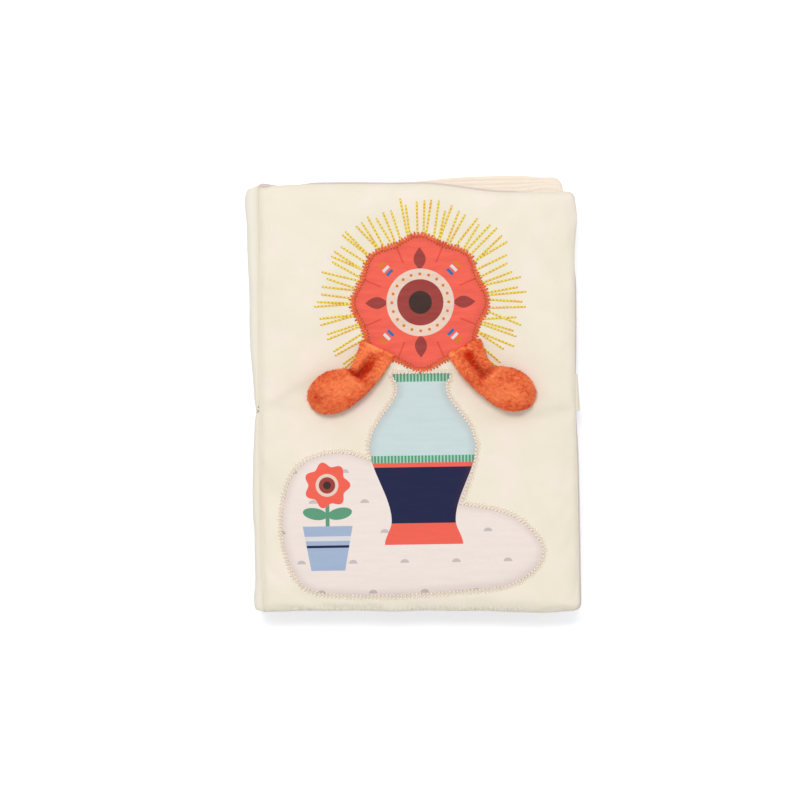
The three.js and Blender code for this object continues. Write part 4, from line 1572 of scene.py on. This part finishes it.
# Light hook tops and darker gaps between them: painted shade between the hooks, besides the bump
hook_finish.feed("Base Color", hook_finish.mix(
    hook_finish.clamp(hook_dots * 1200), colour(250, 249, 245), colour(205, 203, 196)
))
hook_finish.bump(hook_finish.clamp(1 - hook_dots * 1100), 0.35 * MM)
loop_finish = velour("white_loops", colour(246, 244, 238), colour(214, 210, 200), depth=0.45 * MM)
for node, finish in (("strap_hook_strip", hook_finish), ("strap_loop_strip", loop_finish)):
    strip = frame["nodes"][node]
    strip.data.materials.clear()
    strip.data.materials.append(finish.material)
print("strips finished")

# %% [markdown]
# ## The plush leaves
#
# Two stuffed leaves of orange plush hang from the flower's lower edge. Each is sewn flat at its
# broad root, draws in at a deep fold, bends and ends full and round. A seam runs along both
# sides. The pile is short and lies in small tufts, so the surface is divided finely, and noise
# stretched along the leaf pushes the tufts out. Thousands of short fibres lie over it, combed
# towards the leaf's end.

# %% The plush leaf's sizes along its length
PLUSH_LENGTH = 52.0
ROOT_WIDTH, WAIST_WIDTH, FULL_WIDTH = 20.0, 16.5, 23.5
ROOT_THICKNESS, FULL_THICKNESS = 2.2, 12.3
WAIST, THICK_AT, FULL_AT = 0.34, 0.38, 0.7
BEND_FROM, BEND_TO = 0.12, 0.6
SEAM_WIDTH, SEAM_DENT = 0.16, 0.055
CREASE_WIDTH, CREASE_DEPTH, LIP_RISE = 0.045, 3.4, 1.1
PLEAT_WIDTH, PLEAT_DEPTH, RIDGE_RISE = 0.33, 0.58, 0.18
PLUSH_BEND = math.radians(42)
PLUSH_BOTTOM = box_mm("left_plush_leaf")[0][2]


def rounded_end(share):
    past = np.clip((share - FULL_AT) / (1 - FULL_AT), 0, 1)
    return np.sqrt(np.maximum(1 - past ** 2, 0.0016))


def plush_width(share):
    width = ROOT_WIDTH + (WAIST_WIDTH - ROOT_WIDTH) * smoothstep(share, 0, WAIST)
    width = width + (FULL_WIDTH - width) * smoothstep(share, WAIST, FULL_AT)
    return width * rounded_end(share)


def plush_thickness(share):
    stuffing = smoothstep(share, 0, THICK_AT)
    return (ROOT_THICKNESS + (FULL_THICKNESS - ROOT_THICKNESS) * stuffing) * rounded_end(share)


# %% Modelling a plush leaf
def plush_leaf(name, root, direction, bend, seed):
    """A stuffed leaf from its sewn root in the given direction, lying on the cover."""
    around = np.linspace(0, 1, 65)
    along = (1 - np.cos(np.linspace(0, math.pi, 97))) / 2
    leaf, points = cloth_grid(name, around, along)
    fine = np.linspace(0, 1, 400)
    headings = bend * smoothstep(fine, BEND_FROM, BEND_TO)
    runs = np.diff(fine, prepend=0) * PLUSH_LENGTH
    middle_x, middle_y = np.cumsum(runs * np.cos(headings)), np.cumsum(runs * np.sin(headings))
    angle, share = points[:, 0] * math.tau, points[:, 1]
    turn = bend * smoothstep(share, BEND_FROM, BEND_TO)

    round_x, round_z = np.cos(angle), np.sin(angle)
    seam = hill(np.mod(angle + 0.25, math.pi), 0.25, SEAM_WIDTH)
    swell = 1 - SEAM_DENT * seam * smoothstep(share, 0.05, 0.2)
    half_width = plush_width(share) / 2 * swell
    half_height = plush_thickness(share) / 2
    lateral = half_width * round_x
    inner_side = round_x * np.sign(bend)
    on_top = smoothstep(round_z, -0.3, 0.5)
    crease_place = share - WAIST - 0.04 - 0.05 * inner_side
    crease = hill(crease_place, 0, CREASE_WIDTH) * (0.5 + 0.5 * inner_side)
    lip = hills(crease_place, (1, 0.08, 0.055), (0.5, -0.07, 0.045)) * (0.6 + 0.4 * inner_side)
    pleat_place = inner_side - 0.1 - 0.5 * (share - 0.2)
    pleat_reach = smoothstep(share, 0.02, 0.14) * (1 - smoothstep(share, 0.3, 0.46))
    pleat = hill(pleat_place, 0, PLEAT_WIDTH) * pleat_reach
    ridges = hills(pleat_place, (1, 0.52, 0.28), (1, -0.5, 0.3)) * pleat_reach
    height = half_height * (1 + np.sign(round_z) * abs(round_z) ** 0.85)
    height *= 1 + on_top * (RIDGE_RISE * ridges - PLEAT_DEPTH * pleat)
    height += on_top * (LIP_RISE * lip - CREASE_DEPTH * crease) * smoothstep(half_height, 1.2, 4.5)
    lateral -= np.sign(round_x) * 0.9 * crease
    soft = smooth_noise(np.stack([share * PLUSH_LENGTH, lateral, height], axis=1), 11, seed, 1.7)
    height += on_top * soft * smoothstep(share, 0.1, 0.3)

    x = np.interp(share, fine, middle_x) - lateral * np.sin(turn)
    y = np.interp(share, fine, middle_y) + lateral * np.cos(turn)
    cosine, sine = math.cos(direction), math.sin(direction)
    placed = np.stack([
        root[0] + x * cosine - y * sine, root[1] + x * sine + y * cosine, PLUSH_BOTTOM + height
    ], axis=1)
    move_points(leaf, placed * MM)
    # Painted light and shade: crest is 1 on the leaf's top and falls on its sides, underneath and
    # in the pleat and crease; with the lip and a random lie it becomes pile_light_and_shade, which
    # the finishes paint lighter where high
    crest = smoothstep(round_z, -0.8, 0.6) * (1 - np.clip(1.3 * pleat + 1.3 * crease, 0, 1))
    lie = smooth_noise(np.stack([share * 25, lateral, height], axis=1), 8, seed + 5, 0.6)
    pile_light_and_shade = 0.2 + 0.7 * crest + 0.2 * lip + lie
    mark(leaf, "lengthwise", share)
    mark(leaf, "pile_light_and_shade", pile_light_and_shade)
    weld(leaf, 0.01, close=True)
    apply_modifier(leaf, "SUBSURF", levels=1, render_levels=1)
    return leaf


# Size and strength of the tufts, of the hairs in them and of the clumps of tufts
TUFTS = ((1.15, 0.55), (0.6, 0.14), (3.6, 0.2))


def comb(leaf, heading, seed):
    """Pushes the pile out in small tufts that lie along the leaf."""
    points = points_of(leaf) / MM
    normals = np.empty(3 * len(points), np.float32)
    leaf.data.vertices.foreach_get("normal", normals)
    normals = normals.reshape(-1, 3)
    ahead = np.array([math.cos(heading), math.sin(heading)])
    run = points[:, :2] @ ahead
    side = points[:, :2] @ np.array([-ahead[1], ahead[0]])
    tuft_place = np.stack([run * 0.45, side, points[:, 2]], axis=1)
    tufts = sum(smooth_noise(tuft_place, size, seed + number, strength)
                for number, (size, strength) in enumerate(TUFTS))
    clear = smoothstep(points[:, 2], PLUSH_BOTTOM + 0.2, PLUSH_BOTTOM + 1.5)
    move_points(leaf, (points + normals * (tufts * clear)[:, None]) * MM)


FIBRE_COUNT = 13000
FIBRE_LENGTH, FIBRE_RADIUS, FIBRE_RISE = (1.0, 1.7), (0.1, 0.16), (0.35, 0.8)
FIBRE_LEAN, FIBRE_SCATTER, FIBRE_SUNK = 0.8, 0.12, 0.15
HINGE_HEIGHT, HINGE_CLEARANCE = 36.6, 0.2


def pile_fibres(leaf, name, hinge, direction, bend, seed):
    """Short fibres over the plush, three-sided slivers that lean the way the pile is combed.

    None grow so close to the hinge that the raised leaf would push them into the flower.
    """
    pick, count = np.random.default_rng(seed), FIBRE_COUNT
    faces = leaf.data.polygons
    centres, normals = np.empty(3 * len(faces), np.float32), np.empty(3 * len(faces), np.float32)
    areas, shares = np.empty(len(faces), np.float32), np.empty(len(leaf.data.vertices), np.float32)
    pile_light_values = np.empty(len(leaf.data.vertices), np.float32)
    faces.foreach_get("center", centres)
    faces.foreach_get("normal", normals)
    faces.foreach_get("area", areas)
    leaf.data.attributes["lengthwise"].data.foreach_get("value", shares)
    leaf.data.attributes["pile_light_and_shade"].data.foreach_get("value", pile_light_values)
    first_corner = np.array([face.vertices[0] for face in faces])
    centres, normals = centres.reshape(-1, 3) / MM, normals.reshape(-1, 3)
    areas = areas * (centres[:, 2] > PLUSH_BOTTOM + 0.6)
    chosen = pick.choice(len(faces), count, p=areas / areas.sum())
    headings = direction + bend * smoothstep(shares[first_corner[chosen]], BEND_FROM, BEND_TO)
    headings = headings + pick.normal(0, 0.35, count)
    out = normals[chosen]
    combed = np.stack([np.cos(headings), np.sin(headings), np.zeros(count)], axis=1)
    combed -= (combed * out).sum(axis=1, keepdims=True) * out
    lean = combed * FIBRE_LEAN + out * pick.uniform(*FIBRE_RISE, (count, 1))
    lean += pick.normal(0, FIBRE_SCATTER, (count, 3))
    root = centres[chosen] + pick.normal(0, FIBRE_SCATTER, (count, 3)) - out * FIBRE_SUNK
    aside = np.cross(lean, out)
    aside /= np.linalg.norm(aside, axis=1, keepdims=True)
    above = np.cross(aside, lean)
    above /= np.linalg.norm(above, axis=1, keepdims=True)
    width = pick.uniform(*FIBRE_RADIUS, (count, 1))
    feet = [root + width * (math.cos(turn) * aside + math.sin(turn) * above)
            for turn in (0, math.tau / 3, 2 * math.tau / 3)]
    tip = root + lean * pick.uniform(*FIBRE_LENGTH, (count, 1))
    corners = np.stack([*feet, tip], axis=1)
    pile_light_and_shade = pile_light_values[first_corner[chosen]] + pick.normal(0, 0.08, count)
    from_hinge = (corners - hinge) @ [math.cos(direction), math.sin(direction), -1.0]
    free = from_hinge.min(axis=1) > HINGE_CLEARANCE
    corners, pile_light_and_shade, count = corners[free].reshape(-1, 3), pile_light_and_shade[free], free.sum()
    sides = np.array([(1, 0, 3), (2, 1, 3), (0, 2, 3), (0, 1, 2)])
    faces = (np.arange(count)[:, None, None] * 4 + sides).reshape(-1, 3)
    fibres = new_piece(name, corners, faces.tolist())
    mark(fibres, "fibre_tip", np.tile([0, 0, 0, 1], count))
    mark(fibres, "pile_light_and_shade", np.repeat(pile_light_and_shade, 4))
    return fibres


ORANGE_SHEEN = (1.0, 0.42, 0.2, 1)
plush_finish = Finish("orange_plush", roughness=0.95, sheen_weight=0.2, sheen_roughness=0.4,
                      specular_ior_level=0.1, sheen_tint=ORANGE_SHEEN)
# Painted light on the leaf's top and painted shade in its folds and on its sides, besides the
# random tufts
painted_pile_light = plush_finish.attribute("pile_light_and_shade")
pile = plush_finish.noise(640, detail=2, roughness=0.5, stretch=(0.7, 1, 1))
locks = plush_finish.noise(260, detail=2)
shade = plush_finish.clamp((pile - 0.5) * 1.7 + (locks - 0.5) * 0.7 + painted_pile_light * 1.0 - 0.2)
plush_ink = plush_finish.mix(shade, colour(216, 50, 14), colour(255, 148, 92))
plush_finish.feed("Base Color", plush_ink)
plush_finish.bump(pile + locks * 0.5, 0.55 * MM, 0.9)

fibre_finish = Finish("orange_fibres", roughness=0.8, sheen_weight=0.15,
                      specular_ior_level=0.1, sheen_tint=ORANGE_SHEEN)
# The fibres are lighter at their tips and carry the same painted light and shade as the pile
tip_share = fibre_finish.attribute("fibre_tip")
fibre_pile_light = fibre_finish.attribute("pile_light_and_shade")
lock = fibre_finish.noise(640, detail=2, stretch=(0.7, 1, 1))
fibre_finish.feed("Base Color", fibre_finish.mix(
    fibre_finish.clamp(tip_share * 0.3 + (lock - 0.5) * 1.5 + fibre_pile_light * 1.0 - 0.22),
    colour(218, 52, 16), colour(255, 156, 100),
))

for side, root_x, degrees, bend, seed in (
    ("left", -20.0, 245, -PLUSH_BEND, 51), ("right", 28.0, -65, PLUSH_BEND, 58),
):
    direction = math.radians(degrees)
    hinge = (root_x, 27.0, HINGE_HEIGHT)
    name = f"{side}_plush_leaf"
    leaf = plush_leaf(f"{name}_pile", hinge, direction, bend, seed)
    comb(leaf, direction + bend * 0.7, seed + 20)
    finish_piece(leaf, f"{name}_pile", plush_finish.material, name, "plush", name, angle=80)
    fibres = pile_fibres(leaf, f"{name}_fibres", hinge, direction, bend, seed)
    finish_piece(fibres, f"{name}_fibres", fibre_finish.material, name, "plush")

# %% Sizes and finish
low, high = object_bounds()
print("visual size", [round(size / MM, 1) for size in high - low], "mm")
bpy.context.scene.view_settings.view_transform = "Standard"
